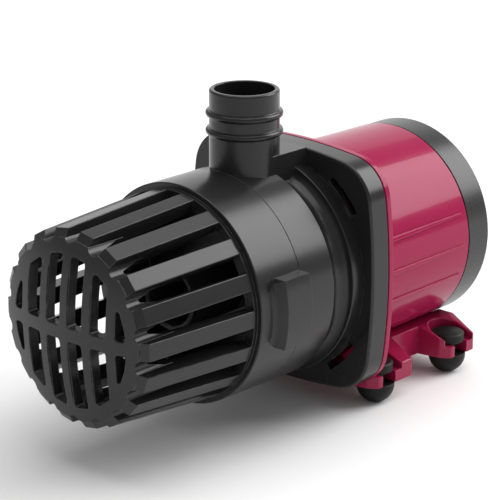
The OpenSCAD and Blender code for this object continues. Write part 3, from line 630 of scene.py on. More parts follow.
@built_once
def moulded_skin(name):
    """Fine moulded grain, slow changes of tone and gloss, and faint flow along the pump."""
    tree, take, give = group_tree(
        name,
        [("Vector", None), ("Grain size", 0.0005), ("Tone spread", 0.06), ("Roughness", 0.4),
         ("Roughness spread", 0.06)],
        ["Tone", "Roughness", "Height"],
    )
    grain = noise(tree, take["Vector"], worked_out(tree, "DIVIDE", 1.0, take["Grain size"]), 2.0)
    patch = noise(tree, take["Vector"], 28.0, 3.0)
    drawn = node(tree, "ShaderNodeMapping", {"Vector": take["Vector"], "Scale": (1.0, 0.12, 1.0)})
    flow = noise(tree, drawn.outputs[0], 240.0, 2.0)
    tone = worked_out(tree, "MULTIPLY_ADD", flow, 0.35, patch)
    low, high = (worked_out(tree, way, 1.0, take["Tone spread"]) for way in ("SUBTRACT", "ADD"))
    tree.links.new(ranged(tree, tone, 0.45, 0.9, low, high), give["Tone"])
    gloss = worked_out(tree, "SUBTRACT", worked_out(tree, "ADD", patch, grain), 1.0)
    rough = worked_out(tree, "MULTIPLY_ADD", gloss, take["Roughness spread"], take["Roughness"], clamp=True)
    tree.links.new(rough, give["Roughness"])
    tree.links.new(grain, give["Height"])
    return tree


@built_once
def edge_wear(name):
    """A mask on the outer edges, broken up as handling breaks it; raised on the bracket, it paints highlights on
    the edges.
    """
    tree, take, give = group_tree(name, [("Vector", None), ("Width", 0.0006), ("Amount", 0.25)], ["Mask"])
    bent = node(tree, "ShaderNodeBevel", {"Radius": take["Width"]}, samples=4)
    flat = node(tree, "ShaderNodeNewGeometry")
    match = node(tree, "ShaderNodeVectorMath", {0: bent.outputs[0], 1: flat.outputs["Normal"]},
                 operation="DOT_PRODUCT")
    edge = ranged(tree, match.outputs["Value"], 0.995, 0.90, 0.0, 1.0)
    breaks = ranged(tree, noise(tree, take["Vector"], 190.0, 4.0), 0.42, 0.68, 0.0, 1.0)
    wear_and_highlight = worked_out(tree, "MULTIPLY", edge, breaks)
    tree.links.new(worked_out(tree, "MULTIPLY", wear_and_highlight, take["Amount"]), give["Mask"])
    return tree


def empty_finish(name, values):
    """A material with one shader, then its tree, the shader's inputs and the Object coordinates."""
    finish = bpy.data.materials.new(name)
    finish.use_nodes = True
    tree = finish.node_tree
    tree.nodes.clear()
    shader = node(tree, "ShaderNodeBsdfPrincipled", values)
    node(tree, "ShaderNodeOutputMaterial", {0: shader.outputs[0]})
    return finish, tree, shader.inputs, node(tree, "ShaderNodeTexCoord").outputs["Object"]


def tinted(tree, base, factor):
    """The colour brightened or darkened by a factor that changes over the surface."""
    return node(tree, "ShaderNodeVectorMath", {0: base, "Scale": factor}, operation="SCALE").outputs[0]


def mixed(tree, factor, a, b):
    return node(tree, "ShaderNodeMix", {0: factor, 6: a, 7: b}, data_type="RGBA").outputs[2]


def covered(tree, shader, where, base, grain, spread, rough, uneven):
    """Lays the moulded skin over a colour and gives the tinted colour and the skin's height."""
    skin = node(tree, "ShaderNodeGroup", {
        "Vector": where, "Grain size": grain, "Tone spread": spread, "Roughness": rough,
        "Roughness spread": uneven,
    }, node_tree=moulded_skin()).outputs
    tree.links.new(skin["Roughness"], shader["Roughness"])
    return tinted(tree, base, skin["Tone"]), skin["Height"]


def completed(tree, shader, base, height, strength, depth):
    """Feeds the shader its colour and a bump."""
    bump = node(tree, "ShaderNodeBump", {"Strength": strength, "Distance": depth, "Height": height})
    tree.links.new(base, shader["Base Color"])
    tree.links.new(bump.outputs[0], shader["Normal"])


def moulded(name, tone, rough, grain, relief=0.12, wear=0.0, spread=0.06, coat=0.0, coat_rough=0.1,
            metal=0.0, pale=(0.30, 0.30, 0.31), specular=0.5):
    """A moulded plastic, rubber or cast finish with grain, uneven gloss and pale worn edges, which on the bracket
    are raised into painted highlights.
    """
    finish, tree, shader, where = empty_finish(name, {
        "Metallic": metal, "Coat Weight": coat, "Coat Roughness": coat_rough, "Specular IOR Level": specular,
    })
    base, height = covered(tree, shader, where, tone, grain, spread, rough, 0.08)
    # Pale edges: worn edges on most finishes, painted edge highlights on the bracket.
    if wear:
        wear_and_highlight = {"Vector": where, "Width": 0.0006, "Amount": wear}
        mask = node(tree, "ShaderNodeGroup", wear_and_highlight, node_tree=edge_wear()).outputs["Mask"]
        base = mixed(tree, mask, base, (*pale, 1))
    completed(tree, shader, base, height, relief, GRAIN_DEPTH)
    return finish


def banded(name, light, dark, pitch, axis, rough, metal):
    """A finish with even bands across one axis, for laminations and windings."""
    finish, tree, shader, where = empty_finish(name, {"Metallic": metal})
    waves = {"Vector": where, "Scale": 0.314 / pitch, "Distortion": 0.4}
    bands = node(tree, "ShaderNodeTexWave", waves, bands_direction=axis).outputs["Fac"]
    base = mixed(tree, bands, (*dark, 1), (*light, 1))
    base, _ = covered(tree, shader, where, base, 0.0008, 0.12, rough, 0.12)
    completed(tree, shader, base, bands, 0.4, pitch * 0.3)
    return finish


def laminate(name):
    """Green board laminate with its copper tracks showing through the lacquer."""
    finish, tree, shader, where = empty_finish(name, {})
    tracks = node(tree, "ShaderNodeTexBrick", {
        "Vector": where, "Scale": 160.0, "Color1": (0.012, 0.11, 0.05, 1), "Color2": (0.010, 0.085, 0.04, 1),
        "Mortar": (0.03, 0.2, 0.09, 1), "Mortar Size": 0.06,
    }).outputs
    base, _ = covered(tree, shader, where, tracks["Color"], 0.0006, 0.1, 0.35, 0.1)
    completed(tree, shader, base, tracks["Fac"], 0.3, GRAIN_DEPTH)
    return finish


def finish_named(slot):
    """The finish of one of the record's material slots, made when it is first asked for."""
    name = f"{slot}_finish"
    if name in bpy.data.materials:
        return bpy.data.materials[name]
    look = bpy.context.scene.pump_finish
    grain, wear = look.grain, look.wear
    if slot == "board_laminate":
        return laminate(name)
    bands = {
        "core_steel": ((0.42, 0.43, 0.45), (0.16, 0.16, 0.17), 0.0005, "Y", 0.38, 0.9),
        "winding_copper": ((0.62, 0.26, 0.09), (0.16, 0.05, 0.02), 0.0007, "X", 0.3, 0.8),
    }
    if slot in bands:
        return banded(name, *bands[slot])
    # The pale crimson is the colour of worn edges on the shell, and of painted edge highlights on the bracket.
    crimson = {"coat": look.gloss, "pale": (0.75, 0.2, 0.32)}
    charcoal = (look.charcoal, 0.24, grain, 0.08, wear, 0.08), {"specular": 0.38}
    # tone, roughness, grain, relief, edge wear (raised on the bracket into painted edge highlights) and spread of
    # tone, then what only some finishes have
    values, extras = {
        "crimson_plastic": ((look.crimson, 0.20, grain * 2, 0.03, wear * 0.5, 0.035),
                            {**crimson, "coat_rough": 0.05, "specular": 0.1}),
        # The bracket's edge wear is raised 2.2 times so that its pale edges paint highlights on the ledge, the
        # pocket rims and the fork tips.
        "crimson_bracket": ((look.bracket, 0.22, grain * 2, 0.04, wear * 2.2, 0.05),
                            {**crimson, "coat_rough": 0.06, "specular": 0.2}),
        "charcoal_volute": charcoal,
        "charcoal_strainer": charcoal,
        "grey_cap": ((look.cap_grey, 0.27, grain, 0.03, wear, 0.06), {"specular": 0.38}),
        "foot_rubber": ((look.rubber, 0.5, grain * 1.6, 0.16, wear * 0.4, 0.12),
                        {"pale": (0.06, 0.06, 0.06), "specular": 0.25}),
        "seal_rubber": (((0.012, 0.012, 0.012), 0.6, grain * 1.6, 0.2, 0.0, 0.12), {}),
        "inner_plastic": (((0.018, 0.018, 0.02), 0.45, grain, 0.12, wear, 0.08), {}),
        "rotor_plastic": (((0.045, 0.045, 0.05), 0.4, grain, 0.12, wear, 0.08), {}),
        "ferrite": (((0.035, 0.034, 0.036), 0.55, grain * 0.6, 0.4, wear, 0.15), {"metal": 0.3}),
        "bearing_ceramic": (((0.80, 0.78, 0.72), 0.18, grain * 0.6, 0.03, 0.0, 0.04), {"coat": 0.4}),
        "frame_plastic": (((0.60, 0.58, 0.50), 0.45, grain), {}),
        "capacitor_sleeve": (((0.02, 0.024, 0.06), 0.3, grain * 2, 0.04, wear, 0.05), {"coat": 0.3}),
        "screw_steel": (((0.55, 0.56, 0.58), 0.3, grain * 0.5, 0.1, 0.3, 0.1),
                        {"metal": 1.0, "pale": (0.8, 0.8, 0.8)}),
    }[slot]
    return moulded(name, *values, **extras)


def floor_finish(tone):
    finish, tree, shader, where = empty_finish("studio_floor", {"Roughness": 0.9, "Specular IOR Level": 0.1})
    patch = ranged(tree, noise(tree, where, 3.0, 2.0), 0.3, 0.7, 0.995, 1.0)
    tree.links.new(tinted(tree, (tone, tone, tone), patch), shader["Base Color"])
    return finish


# ---- the pieces, one operator for each piece or group of like pieces ----


def squared(value):
    """A sine or cosine pushed outwards, so that a half circle turns into a block with round corners."""
    return math.copysign(abs(value) ** 0.5, value)


def shell_ridge(hull):
    """A ridge with round corners that swells from a point near the cap to the flange."""
    count, sunk, start = 16, 1, hull.cap_len + 4
    sections = (
        (start, 0.5, 0.05), (start + 0.8, 1.2, 0.7 * hull.ridge_h), (hull.shell_front - 1, 2.7, hull.ridge_h),
    )
    verts = []
    for station, width, height in sections:
        share_along = (station - hull.cap_len) / (hull.shell_front - hull.cap_len)
        surface = hull.motor_r + SHELL_STEP + (hull.draft - SHELL_STEP) * share_along
        verts += [(surface - sunk, -width, station), (surface - sunk, 0, station)]
        for k in range(count + 1):
            across, rise = squared(math.cos(math.pi * k / count)), squared(math.sin(math.pi * k / count))
            verts.append((surface + height * rise, (across - 1) * width / 2, station))
    ring = count + 3
    faces = sides(len(sections), ring)
    faces += [tuple(range(ring))[::-1], tuple(range(len(verts) - ring, len(verts)))]
    return as_object(verts, faces)


class PUMP_OT_motor_shell(bpy.types.Operator):
    """Builds the motor shell with its flange, ridges and bayonet lugs"""

    bl_idname = "pump.motor_shell"
    bl_label = "Motor shell"

    def execute(self, context):
        hull = Sizes(context.scene.pump_hull)
        finish = finish_named("crimson_plastic")
        rear, front, seam = hull.cap_len + 0.5, hull.shell_front, hull.flange_seam
        r, inner, root = hull.motor_r, hull.motor_r - SHELL_WALL, hull.motor_r + hull.draft + SHELL_COVE
        cove = arc(SHELL_COVE, 180, 90, 10, root, front - SHELL_COVE)
        lap, sunk = 0.6, 0.5
        shell = turned([
            (inner, rear), (r + SHELL_STEP, rear, 0.15), *cove, (root, front + lap), (inner, front + lap),
        ], segments=FINE)
        plate = pressed(flange_outline(hull), block(front, seam - 0.3, 0.8, 0.2))
        ridge_pitch = 18
        ridges = both_sides(repeated(shell_ridge(hull), 3, -ridge_pitch, finish, ridge_pitch))
        stator_r, stator_rear, seat_w = 44.05, 35, 4
        seat = oblong(stator_r, inner + sunk, -seat_w / 2, seat_w / 2)
        seats = repeated(pressed(seat, block(stator_rear, front + sunk)), 6, 30, finish)
        post_r, post_ends = 3.6, (hull.cap_len + 5.15, hull.cap_len + 12.75)
        web = oblong(SCREW_RING, inner + sunk, -post_r / 2, post_r / 2)
        post = joined(tube(post_r, 0, *post_ends, AT_SCREW, 32), pressed(web, block(*post_ends)))
        cut(post, tube(TAPPED_R, 0, hull.cap_len, 40, AT_SCREW, 32))
        posts = repeated(post, 4, 45, finish)
        lug_out, lug_half, lug_rear, lug_front = 58.2, 5.5, seam + 3.1, seam + 5.5
        stem = block(seam - 1, lug_front - 0.3)
        lug = joined(
            pressed(sector(LUG_R, lug_out, -lug_half, lug_half, 0.4), block(lug_rear, lug_front, 0.2, 0.3)),
            pressed(sector(55.75, lug_out - 0.05, 0.05 - lug_half, lug_half - 0.05), stem),
            pressed(sector(LUG_R + 0.05, 56.3, -5.7, -3.9), stem),
        )
        lugs = repeated(lug, 4, LUG_TURN, finish)
        boss_r, can_r, groove_r = CHAMBER_R - 0.3, 15.65, 41.4
        boss = tube(boss_r, 36.6, seam - 1, seam + 6, edge=0.5)
        joined(shell, plate, *ridges, seats, posts, lugs, boss)
        seal_groove = tube(boss_r + 1.2, groove_r, seam + 1.6, seam + 4.4)
        cut(shell, tube(can_r, 0, front - 1, seam + 1), seal_groove)
        finished(shell, "shell_moulding", "crimson_plastic", "motor", "motor_shell")
        return {"FINISHED"}


class PUMP_OT_end_cap(bpy.types.Operator):
    """Builds the end cap with its screw wells and the pocket of the cable gland"""

    bl_idname = "pump.end_cap"
    bl_label = "End cap"

    def execute(self, context):
        hull = Sizes(context.scene.pump_hull)
        r, end, plug = hull.motor_r, hull.cap_len, hull.motor_r - SHELL_WALL - 0.15
        seam, plug_end, plug_wall, wall = end - 0.5, end + 5, 4, 3
        cap = spindle([
            (r, 0, 1.6), (r, seam, 0.15), (plug, seam), (plug, plug_end, 0.4), (plug - plug_wall, plug_end),
            (plug - plug_wall, end - 2), (r - wall, end - 6), (r - wall, wall),
        ], segments=FINE, step=10)
        inside = wall - 1
        pillars = repeated(tube(4.6, 0, inside, plug_end - 0.4, AT_SCREW, 40), 4, 45)
        gland_seat = tube(POCKET_R + wall, 0, inside, POCKET_FLOOR + wall, AT_GLAND, 96, 0.3)
        at_board, board_rear = Matrix.Translation((30, 0, 0)), 12.4
        standoff = joined(
            tube(2.6, 0, inside, board_rear, at_board, 32),
            tube(1.1, 0, board_rear - 1.4, board_rear + 2.4, at_board, 24, 0.2),
        )
        joined(cap, pillars, gland_seat, repeated(standoff, 4, step=60))
        well = pressed(disc(WELL_R, 48, SCREW_RING), through(0, WELL_FLOOR - 1, 0.35))
        hole = tube(CLEAR_R, 0, WELL_FLOOR - 1, end + 6, AT_SCREW, 32)
        cut(
            cap,
            repeated(joined(well, hole), 4, 45),
            pressed(disc(POCKET_R, 96, 0, GLAND_Y), through(0, POCKET_FLOOR - 1, 0.5)),
            tube(THREAD_R, 0, POCKET_FLOOR - 1, end, AT_GLAND, 64),
            tube(r, plug - 2.35, end + 1.3, end + 4.1),
        )
        finished(cap, "cap_moulding", "grey_cap", "motor", "end_cap")
        return {"FINISHED"}


class PUMP_OT_cap_fittings(bpy.types.Operator):
    """Builds the four cap screws and the cable gland"""

    bl_idname = "pump.cap_fittings"
    bl_label = "Cap screws and gland"

    def execute(self, context):
        top, foot, tip = WELL_FLOOR - 1.85, WELL_FLOOR - 0.05, 27
        outside = [
            (HEAD_R, top, 0.7), (HEAD_R, foot, 0.15), (SHANK_R, foot), (SHANK_R, tip - 0.8, 0.2), (0.9, tip),
        ]
        screw = spindle(outside, AT_SCREW, 40)
        socket_r, socket_depth = 1.2, 0.95
        socket = pressed(disc(socket_r, 6, SCREW_RING), block(top - 1, top + socket_depth))
        screws = repeated(cut(screw, socket), 4, 45, finish_named("screw_steel"))
        finished(screws, "cap_screw_set", "screw_steel", "motor", "cap_screws")
        nut_r, crown_r, flare_r, fit = 8.4, 6.8, CORD_R + 0.7, 0.05
        hexagon = [(*corner, 0.7) for corner in disc(nut_r, 6)]
        gland = joined(
            pressed(hexagon, block(1.4, POCKET_FLOOR - fit, 0.5, 0.1), AT_GLAND),
            spindle([(5.2, 0.4, 1.0), (crown_r, 1.6, 0.5), (crown_r, 2.4)], AT_GLAND, 72),
            tube(THREAD_R - fit, 0, POCKET_FLOOR - 1, 12, AT_GLAND, 64, 0.3),
        )
        cord_hole = [(flare_r, -1), (flare_r, 0.42, 0.6), (CORD_R, 1.3), (CORD_R, 14)]
        cut(gland, spindle(cord_hole, AT_GLAND, 64))
        finished(gland, "gland_moulding", "inner_plastic", "motor", "cable_gland")
        return {"FINISHED"}


def crown_of(mount):
    """The height of a fork's top at (x, y), falling from the ledge to the tip."""
    top = UNDER_Y + mount.ledge_h
    fall = (UNDER_Y + 8.15 - top) / (mount.foot_x + 9.4 - mount.ledge_x)
    return lambda x, y: top + fall * max(0.0, x - mount.ledge_x)


def fork(mount, station, wing):
    """One side's fork: a plan with its top falling from the ledge to the tip."""
    tip, root, side, half = mount.foot_x + 8.4, mount.ledge_x - 4, mount.ledge_x, 13.2
    plan = [
        (root, half), (side, half), (tip - 4.5, 10.9, 3.5), (tip, 7.5, 1.6),
        (tip, -9.4 - wing, 1.6), (side, -half - wing), (root, -half - wing),
    ]
    place = Matrix.Translation((0, 0, station)) @ PLAN
    return pressed(plan, block(UNDER_Y, crown_of(mount), 0.5, 0.7), place, 3.0)


def foot_seat(mount, station):
    """Cutters for a foot's pocket and for the slot of its neck, open at the tip."""
    x, out, floor = mount.foot_x, mount.foot_x + 14, UNDER_Y + FORK_FLOOR
    pocket_r, slot_r = BUTTON_R + 1.1, NECK_R + 0.3
    place = Matrix.Translation((0, 0, station)) @ PLAN
    pocket = [(floor, 0), *through(floor, crown_of(mount), 0, 0.9, 1.5)[1:]]
    return [
        pressed([*arc(radius, 90, 270, 36, x), (out, -radius), (out, radius)], levels, place)
        for radius, levels in ((pocket_r, pocket), (slot_r, through(UNDER_Y, floor, 0.5, 0.5, 0.6)))
    ]


class PUMP_OT_foot_bracket(bpy.types.Operator):
    """Builds the bracket under the motor, with a fork for each foot"""

    bl_idname = "pump.foot_bracket"
    bl_label = "Foot bracket"

    def execute(self, context):
        hull, mount = Sizes(context.scene.pump_hull), Sizes(context.scene.pump_mounts)
        fit, wall, under = 0.15, 3, UNDER_Y - 3
        rear, front = mount.rear_foot - 14.4, hull.shell_front - fit
        x, top, middle = mount.ledge_x, UNDER_Y + mount.ledge_h, (rear + front) / 2

        def slab(half_x, low_s, high_s, levels, corner=0.0):
            return pressed(oblong(-half_x, half_x, low_s, high_s, corner), levels, PLAN)

        bracket = slab(x, rear, front, block(UNDER_Y, top, 0.4, 0.7), 0.9)
        hollow = slab(x - wall, rear + wall, front - wall, block(UNDER_Y - 1, top - 1))
        cut(
            hollow,
            tube(hull.motor_r + wall, 0, rear - 5, front + 5),
            slab(wall / 2, rear, front, block(under, top + 3)),
            slab(x + 5, middle - wall / 2, middle + wall / 2, block(under, top + 3)),
        )
        cut(bracket, hollow)
        forks, seats = [], []
        for station, wing in ((mount.rear_foot, 1.2), (mount.rear_foot + mount.foot_pitch, 8)):
            forks += both_sides(fork(mount, station, wing))
            for tool in foot_seat(mount, station):
                seats += both_sides(tool)
        joined(bracket, *forks)
        hug, wide, rim = hull.motor_r + fit, hull.motor_r + hull.draft + fit, hull.shell_front
        cove = SHELL_COVE + fit
        relief = spindle([
            (hug, rear - 5), (hug, hull.cap_len), (hug + 0.2, hull.cap_len + 0.4),
            (wide, rim - cove), (wide + cove, rim), (wide + cove, rim + 0.2),
        ], segments=FINE)
        flange = pressed(drawn_in(flange_outline(hull), -fit), block(front, front + 14))
        ahead = pressed(oblong(-90, 90, -90, 90), block(hull.flange_seam - fit, front + 20))
        cut(bracket, *seats, relief, flange, ahead)
        finished(bracket, "bracket_moulding", "crimson_bracket", "motor", "foot_bracket")
        return {"FINISHED"}


class PUMP_OT_rubber_feet(bpy.types.Operator):
    """Builds the four rubber feet, each a ball, a neck and a button"""

    bl_idname = "pump.rubber_feet"
    bl_label = "Rubber feet"

    def execute(self, context):
        mount = Sizes(context.scene.pump_mounts)
        r, centre, under, seat = mount.foot_r, UNDER_Y - 1.2, UNDER_Y - 0.05, UNDER_Y + FORK_FLOOR + 0.05
        low, high = (math.degrees(math.asin((y - centre) / r)) for y in (-AXIS_H, under))
        ball = arc(r, low, high - 2, 30, 0, centre)
        crown_r = BUTTON_R - 1
        crown = [(crown_r * k / 6, seat + 5 - (crown_r * k / 6) ** 2 / 120) for k in range(6, -1, -1)]
        profile = [
            (0, -AXIS_H), *ball, (r - 0.25, under, 0.4), (NECK_R, under, 0.3), (NECK_R, seat, 0.5),
            (BUTTON_R, seat, 0.6), (BUTTON_R, seat + 3.9, 0.7), (crown_r + 0.1, seat + 4.5, 0.4), *crown,
        ]
        for end, station in (("rear", mount.rear_foot), ("front", mount.rear_foot + mount.foot_pitch)):
            for side, x in (("left", -mount.foot_x), ("right", mount.foot_x)):
                foot = turned(profile, Matrix.Translation((x, 0, station)) @ UPRIGHT, 96, 12)
                place = f"{end}_{side}"
                finished(foot, f"rubber_foot_{place}", "foot_rubber", "motor", f"foot_{place}", sharp=50)
        return {"FINISHED"}


class PUMP_OT_volute(bpy.types.Operator):
    """Builds the volute with its flange, hose tail, spigot and intake tube"""

    bl_idname = "pump.volute"
    bl_label = "Volute"

    def execute(self, context):
        hull, vol = Sizes(context.scene.pump_hull), Sizes(context.scene.pump_volute)
        finish = finish_named("charcoal_volute")
        seam, skirt, lip, barrel = hull.flange_seam, vol.skirt_front, vol.lip_front, vol.barrel_front
        wall, r, bore = 2.8, vol.barrel_r, 13.3
        spigot = r - wall
        middle, half = (lip + vol.cove_front) / 2, (vol.cove_front - lip) / 2
        # the cove's section runs from the lip, where t is -1, to the barrel, and is steep at both ends
        cove = []
        for k in range(25):
            t = k / 12 - 1
            depth = 3.6 * (1 - abs(t) ** 2.6) ** 0.62
            cove.append((r - 0.4 - depth + 0.4 * max(t, 0), middle + t * half))
        opening, throat, spigot_end = 50.5, 47.1, barrel + 13
        flange = pressed(flange_outline(hull), block(seam + 0.55, skirt, 0.2, 1.3, 5))
        cut(flange, pressed(flange_outline(hull, wall), block(seam - 1, skirt - wall)),
            tube(opening, 0, seam - 1, skirt + 1))
        body = spindle([
            (throat, seam + 0.35, 0.4), (throat, skirt - 2), (r + 1, skirt - 2), (r + 1, lip, 0.5), *cove,
            (r, vol.cove_front + 0.8), (r, barrel - 0.01, 0.4 * hull.edge), (spigot, barrel - 0.01),
            (spigot, spigot_end, 0.7),
        ], segments=FINE)
        tail_r, mouth, tail_at = vol.tail_r, vol.tail_r - 2.4, barrel - vol.tail_r - 0.5
        saddle = oblong(-tail_r, tail_r, skirt - 1, tail_at)
        saddle = pressed(saddle, block(20, hull.flange_half, 0, 0.25), PLAN)
        tail_place = Matrix.Translation((0, 0, tail_at)) @ UPRIGHT
        outside = [(tail_r, 20)]
        for k in (1, 0):
            height = TAIL_TOP - vol.bead_drop - k * vol.bead_pitch
            outside += [
                (tail_r, height - vol.bead_r - 0.3, 0.4),
                *arc(vol.bead_r, -86, 86, 14, tail_r + 0.1, height),
                (tail_r, height + vol.bead_r + 0.3, 0.4),
            ]
        outside += [(tail_r, TAIL_TOP, 1.1), (mouth, TAIL_TOP, 0.5), (mouth, TAIL_TOP - 3)]
        joined(body, flange, saddle, spindle(outside, tail_place, 128, 12))
        hollow, rim = 48, spigot - 2.5
        cut(
            body,
            spindle([
                (CHAMBER_R, seam - 1), (CHAMBER_R, vol.cove_front - 3.1), (hollow, vol.cove_front + 1.1),
                (hollow, barrel - 3, 0.8),
            ]),
            tube(r - 1.8, throat, seam - 1, lip - wall),
            spindle([
                (rim, barrel, 0.6), (rim, spigot_end - 0.4), (rim + 0.4, spigot_end + 0.2),
                (rim + 0.4, spigot_end + 1),
            ]),
        )
        spider_rear, spider_front, intake_r, intake_end = barrel - 13.4, barrel - 5.7, bore + 2.2, barrel + 33
        claw = pressed(sector(46.1, 55.4, -3.5, 5.5, 0.4), block(seam + 0.35, seam + 2.75, 0.2, 0.2))
        intake = spindle([(intake_r, spider_rear, 0.3), (intake_r, intake_end, 0.5)], segments=128)
        joined(body, intake, repeated(claw, 4, LUG_TURN, finish))
        window_out, window_half = 57, 10.5
        window = sector(LUG_R, window_out, -window_half, window_half, 0.5)
        cut(
            body,
            spindle([
                (bore, barrel - 15), (bore, intake_end - 0.5), (bore + 0.6, intake_end + 0.1),
                (bore + 0.6, intake_end + 1),
            ], segments=128),
            tube(mouth, 0, CHAMBER_R - 6, TAIL_TOP + 1, tail_place, 128),
            repeated(pressed(window, through(skirt - wall, skirt, 0, 0.1)), 4, 45),
        )
        hub_r, blade_w, shaft_seat = 7.4, 2.6, 5.05
        blade = oblong(hub_r - 1, bore + 1, -blade_w / 2, blade_w / 2)
        blades = repeated(pressed(blade, block(spider_rear, spider_front)), 3, 90, finish)
        joined(body, joined(tube(hub_r, 0, spider_rear, spider_front, segments=64, edge=0.6), blades))
        cut(body, tube(shaft_seat, 0, barrel - 20, spider_front - 2, segments=48))
        finished(body, "volute_moulding", "charcoal_volute", "volute", "volute_housing")
        return {"FINISHED"}


class PUMP_OT_strainer(bpy.types.Operator):
    """Builds the strainer: collar, grips, ribs, notched rim and slotted, domed face"""

    bl_idname = "pump.strainer"
    bl_label = "Strainer cage"

    def execute(self, context):
        vol, cage = Sizes(context.scene.pump_volute), Sizes(context.scene.pump_strainer)
        finish = finish_named("charcoal_strainer")
        rear, front, shoulder = vol.barrel_front + 0.15, cage.collar_front, cage.shoulder
        r, inner, edge = vol.barrel_r, vol.barrel_r - 2.5, 0.4 * Sizes(context.scene.pump_hull).edge
        face_edge, notch_r = shoulder + cage.chamfer, cage.face_r - cage.notch
        rise = FRONT - face_edge
        dome_r = (cage.face_r**2 + rise**2) / (2 * rise)

        def dome(x, y, radius=dome_r):
            return FRONT - dome_r + math.sqrt(max(radius**2 - x * x - y * y, 0))

        body = turned([
            (inner, rear), (r, rear, edge), (r, front, 0.6), (inner, front, 0.2), (inner, front + 2, 0.12),
            (inner - 5.5, front + 2, 0.5), (inner - 5.5, front - 3), (inner, front - 5),
        ], segments=FINE)
        root = notch_r - 3.2
        rib = pressed([
            (inner - 5.8, front - 1), (inner - 0.4, front - 1), (inner - 0.3, front + 2),
            (cage.shoulder_r, shoulder, 0.3), (cage.face_r - 0.35, face_edge - 0.35),
            (cage.face_r - 2, face_edge - 0.4), (root, face_edge - 0.4), (root, face_edge - 8),
        ], block(-cage.rib_w / 2, cage.rib_w / 2, 0.5, 0.5), EDGEWISE)
        ribs = repeated(rib, cage.rib_count, 0, finish)
        tip, tip_len, gap_half = shoulder - 4.2, 10.0, 3.0
        rim_back, fine = tip - tip_len - 4.0, 2.2
        face = pressed(scalloped_rim(cage), block(rim_back, dome, 0.3, 0.15), spacing=fine)
        gap = mirrored([(gap_half, rim_back - 1), (gap_half, tip - tip_len, 6), (0.7, tip, 1)])
        gap = pressed(gap, block(25, cage.face_r + 2), OUTWARD)
        cut(face, repeated(gap, cage.rib_count, 180 / cage.rib_count))
        grip_half, narrowed = math.radians(16.3), 0.61
        half_y, crest, foot = cage.grip_r * math.sin(grip_half), rear + 16.35, rear + 21.75
        grip = turned([
            (r - 4, rear + 0.35), (cage.grip_r, rear + 0.35, 0.3), (cage.grip_r, crest, 0.3),
            (r + 0.8, crest + 1.7, 1.5), (r - 0.4, foot), (r - 4, foot),
        ], segments=FINE)
        prism = mirrored([(half_y, rear - 1), (half_y, crest, 0.5), (narrowed * half_y, foot + 0.1)])
        kept(grip, pressed(prism, block(r - 14, cage.grip_r + 5), OUTWARD))
        joined(body, ribs, face, grip, copy_of(grip, Matrix.Rotation(math.pi, 4, "Z")))
        # three slots in each quarter of the face, all within reach, the last one with a slanting end
        slots, reach, bar, corner = [], 34.5, 3.1, cage.slot_round
        for k in range(3):
            x0 = cage.slot_bar / 2 + k * (cage.slot_w + cage.slot_bar)
            x1 = min(x0 + cage.slot_w, math.sqrt(reach**2 - bar**2))
            if k == 2:
                y0 = 15.8
                far = [(33.1, 9.8, 12), (math.sqrt(reach**2 - y0**2), y0, 1.2)]
            else:
                y0 = math.sqrt(reach**2 - x0**2)
                far = [(x1, math.sqrt(reach**2 - x1**2), corner)]
            outline = [(x0, bar, corner), (x1, bar, corner), *far, (x0, y0, corner)]
            slot = pressed(outline, through(face_edge - 10, dome, 0, 0.4, 1.5), spacing=fine)
            for shape in both_sides(slot):
                slots += both_sides(shape, (0, 1, 0))
        room = block(rim_back - 1, lambda x, y: dome(x, y, dome_r - 5), 0, 1.0)
        cut(body, pressed(disc(notch_r - 3.6, 160), room, spacing=fine), *slots)
        finished(body, "strainer_moulding", "charcoal_strainer", "strainer", "strainer_cage")
        return {"FINISHED"}


class PUMP_OT_inner_works(bpy.types.Operator):
    """Gives the rotor, stator, seals and board their finishes"""

    bl_idname = "pump.inner_works"
    bl_label = "Inner works"

    def execute(self, context):
        for part in frame["record"]["subparts"]:
            piece = frame["nodes"][part["node"]]
            if piece.hide_render:
                continue
            piece.data.materials.clear()
            piece.data.materials.append(finish_named(part["material_slot"]))
        return {"FINISHED"}


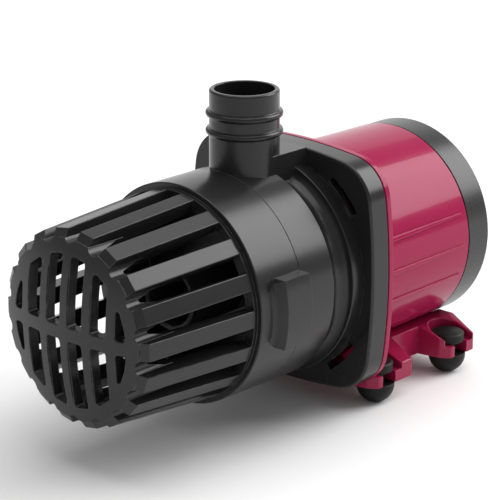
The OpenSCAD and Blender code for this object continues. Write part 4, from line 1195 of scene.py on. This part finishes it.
class PUMP_OT_studio(bpy.types.Operator):
    """Sets the floor, the lights and the camera"""

    bl_idname = "pump.studio"
    bl_label = "Studio"

    def execute(self, context):
        scene, looks = context.scene, context.scene.pump_studio
        mesh = bpy.data.meshes.new("studio_floor")
        work = bmesh.new()
        bmesh.ops.create_grid(work, x_segments=8, y_segments=8, size=6)
        work.to_mesh(mesh)
        work.free()
        mesh.materials.append(floor_finish(looks.floor_tone))
        floor = bpy.data.objects.new("studio_floor", mesh)
        scene.collection.objects.link(floor)

        world = scene.world or bpy.data.worlds.new("studio_air")
        scene.world = world
        world.use_nodes = True
        air = world.node_tree.nodes["Background"].inputs
        air["Color"].default_value = (1.0, 1.0, 1.0, 1)
        air["Strength"].default_value = looks.air

        def softbox(name, place, aim, width, height, watts):
            light = bpy.data.lights.new(name, "AREA")
            light.shape, light.size, light.size_y = "RECTANGLE", width, height
            light.energy = watts
            lamp = bpy.data.objects.new(name, light)
            lamp.location = place
            lamp.rotation_euler = (Vector(aim) - Vector(place)).to_track_quat("-Z", "Y").to_euler()
            scene.collection.objects.link(lamp)

        softbox("key_softbox", (1.15, 2.2, 1.75), (0, 0, 0.07), 2.2, 1.87, looks.key)
        softbox("overhead_softbox", (-0.1, 0.5, 2.6), (-0.1, 0.5, 0), 3.0, 3.0, looks.overhead)
        softbox("back_softbox", (-1.7, 2.4, 1.0), (0, 0, 0.1), 2.5, 2.0, looks.back)

        camera = bpy.data.cameras.new("studio_camera")
        camera.lens, camera.sensor_width = looks.lens, 36
        camera.clip_end = 20
        eye = bpy.data.objects.new("studio_camera", camera)
        eye.location = (0.6541, -0.7030, 0.3916)
        eye.rotation_euler = (math.radians(71.81), 0, math.radians(42.95))
        scene.collection.objects.link(eye)
        scene.camera = eye
        scene.view_settings.view_transform = "Standard"
        return {"FINISHED"}


class PUMP_PT_dressing(bpy.types.Panel):
    """Lists the pump's pieces and their sizes"""

    bl_idname = "PUMP_PT_dressing"
    bl_label = "Circulation pump"
    bl_space_type = "VIEW_3D"
    bl_region_type = "UI"
    bl_category = "Pump"

    def draw(self, context):
        for operator in PIECES:
            self.layout.operator(operator.bl_idname)
        for name, group in GROUPS.items():
            column = self.layout.column(align=True)
            for key in group.__annotations__:
                column.prop(getattr(context.scene, name), key)


PIECES = (
    PUMP_OT_motor_shell, PUMP_OT_end_cap, PUMP_OT_cap_fittings, PUMP_OT_foot_bracket, PUMP_OT_rubber_feet,
    PUMP_OT_volute, PUMP_OT_strainer, PUMP_OT_inner_works, PUMP_OT_studio,
)


def register():
    for kind in (*GROUPS.values(), *PIECES, PUMP_PT_dressing):
        bpy.utils.register_class(kind)
    for name, group in GROUPS.items():
        setattr(bpy.types.Scene, name, bpy.props.PointerProperty(type=group))


def unregister():
    for name in GROUPS:
        delattr(bpy.types.Scene, name)
    for kind in (PUMP_PT_dressing, *reversed(PIECES), *reversed(GROUPS.values())):
        bpy.utils.unregister_class(kind)


def main():
    register()
    for piece in PIECES:
        step = getattr(bpy.ops.pump, piece.bl_idname.split(".")[1])
        if step() != {"FINISHED"}:
            raise RuntimeError(f"{piece.bl_label} wasn't built")


if __name__ == "__main__":
    main()
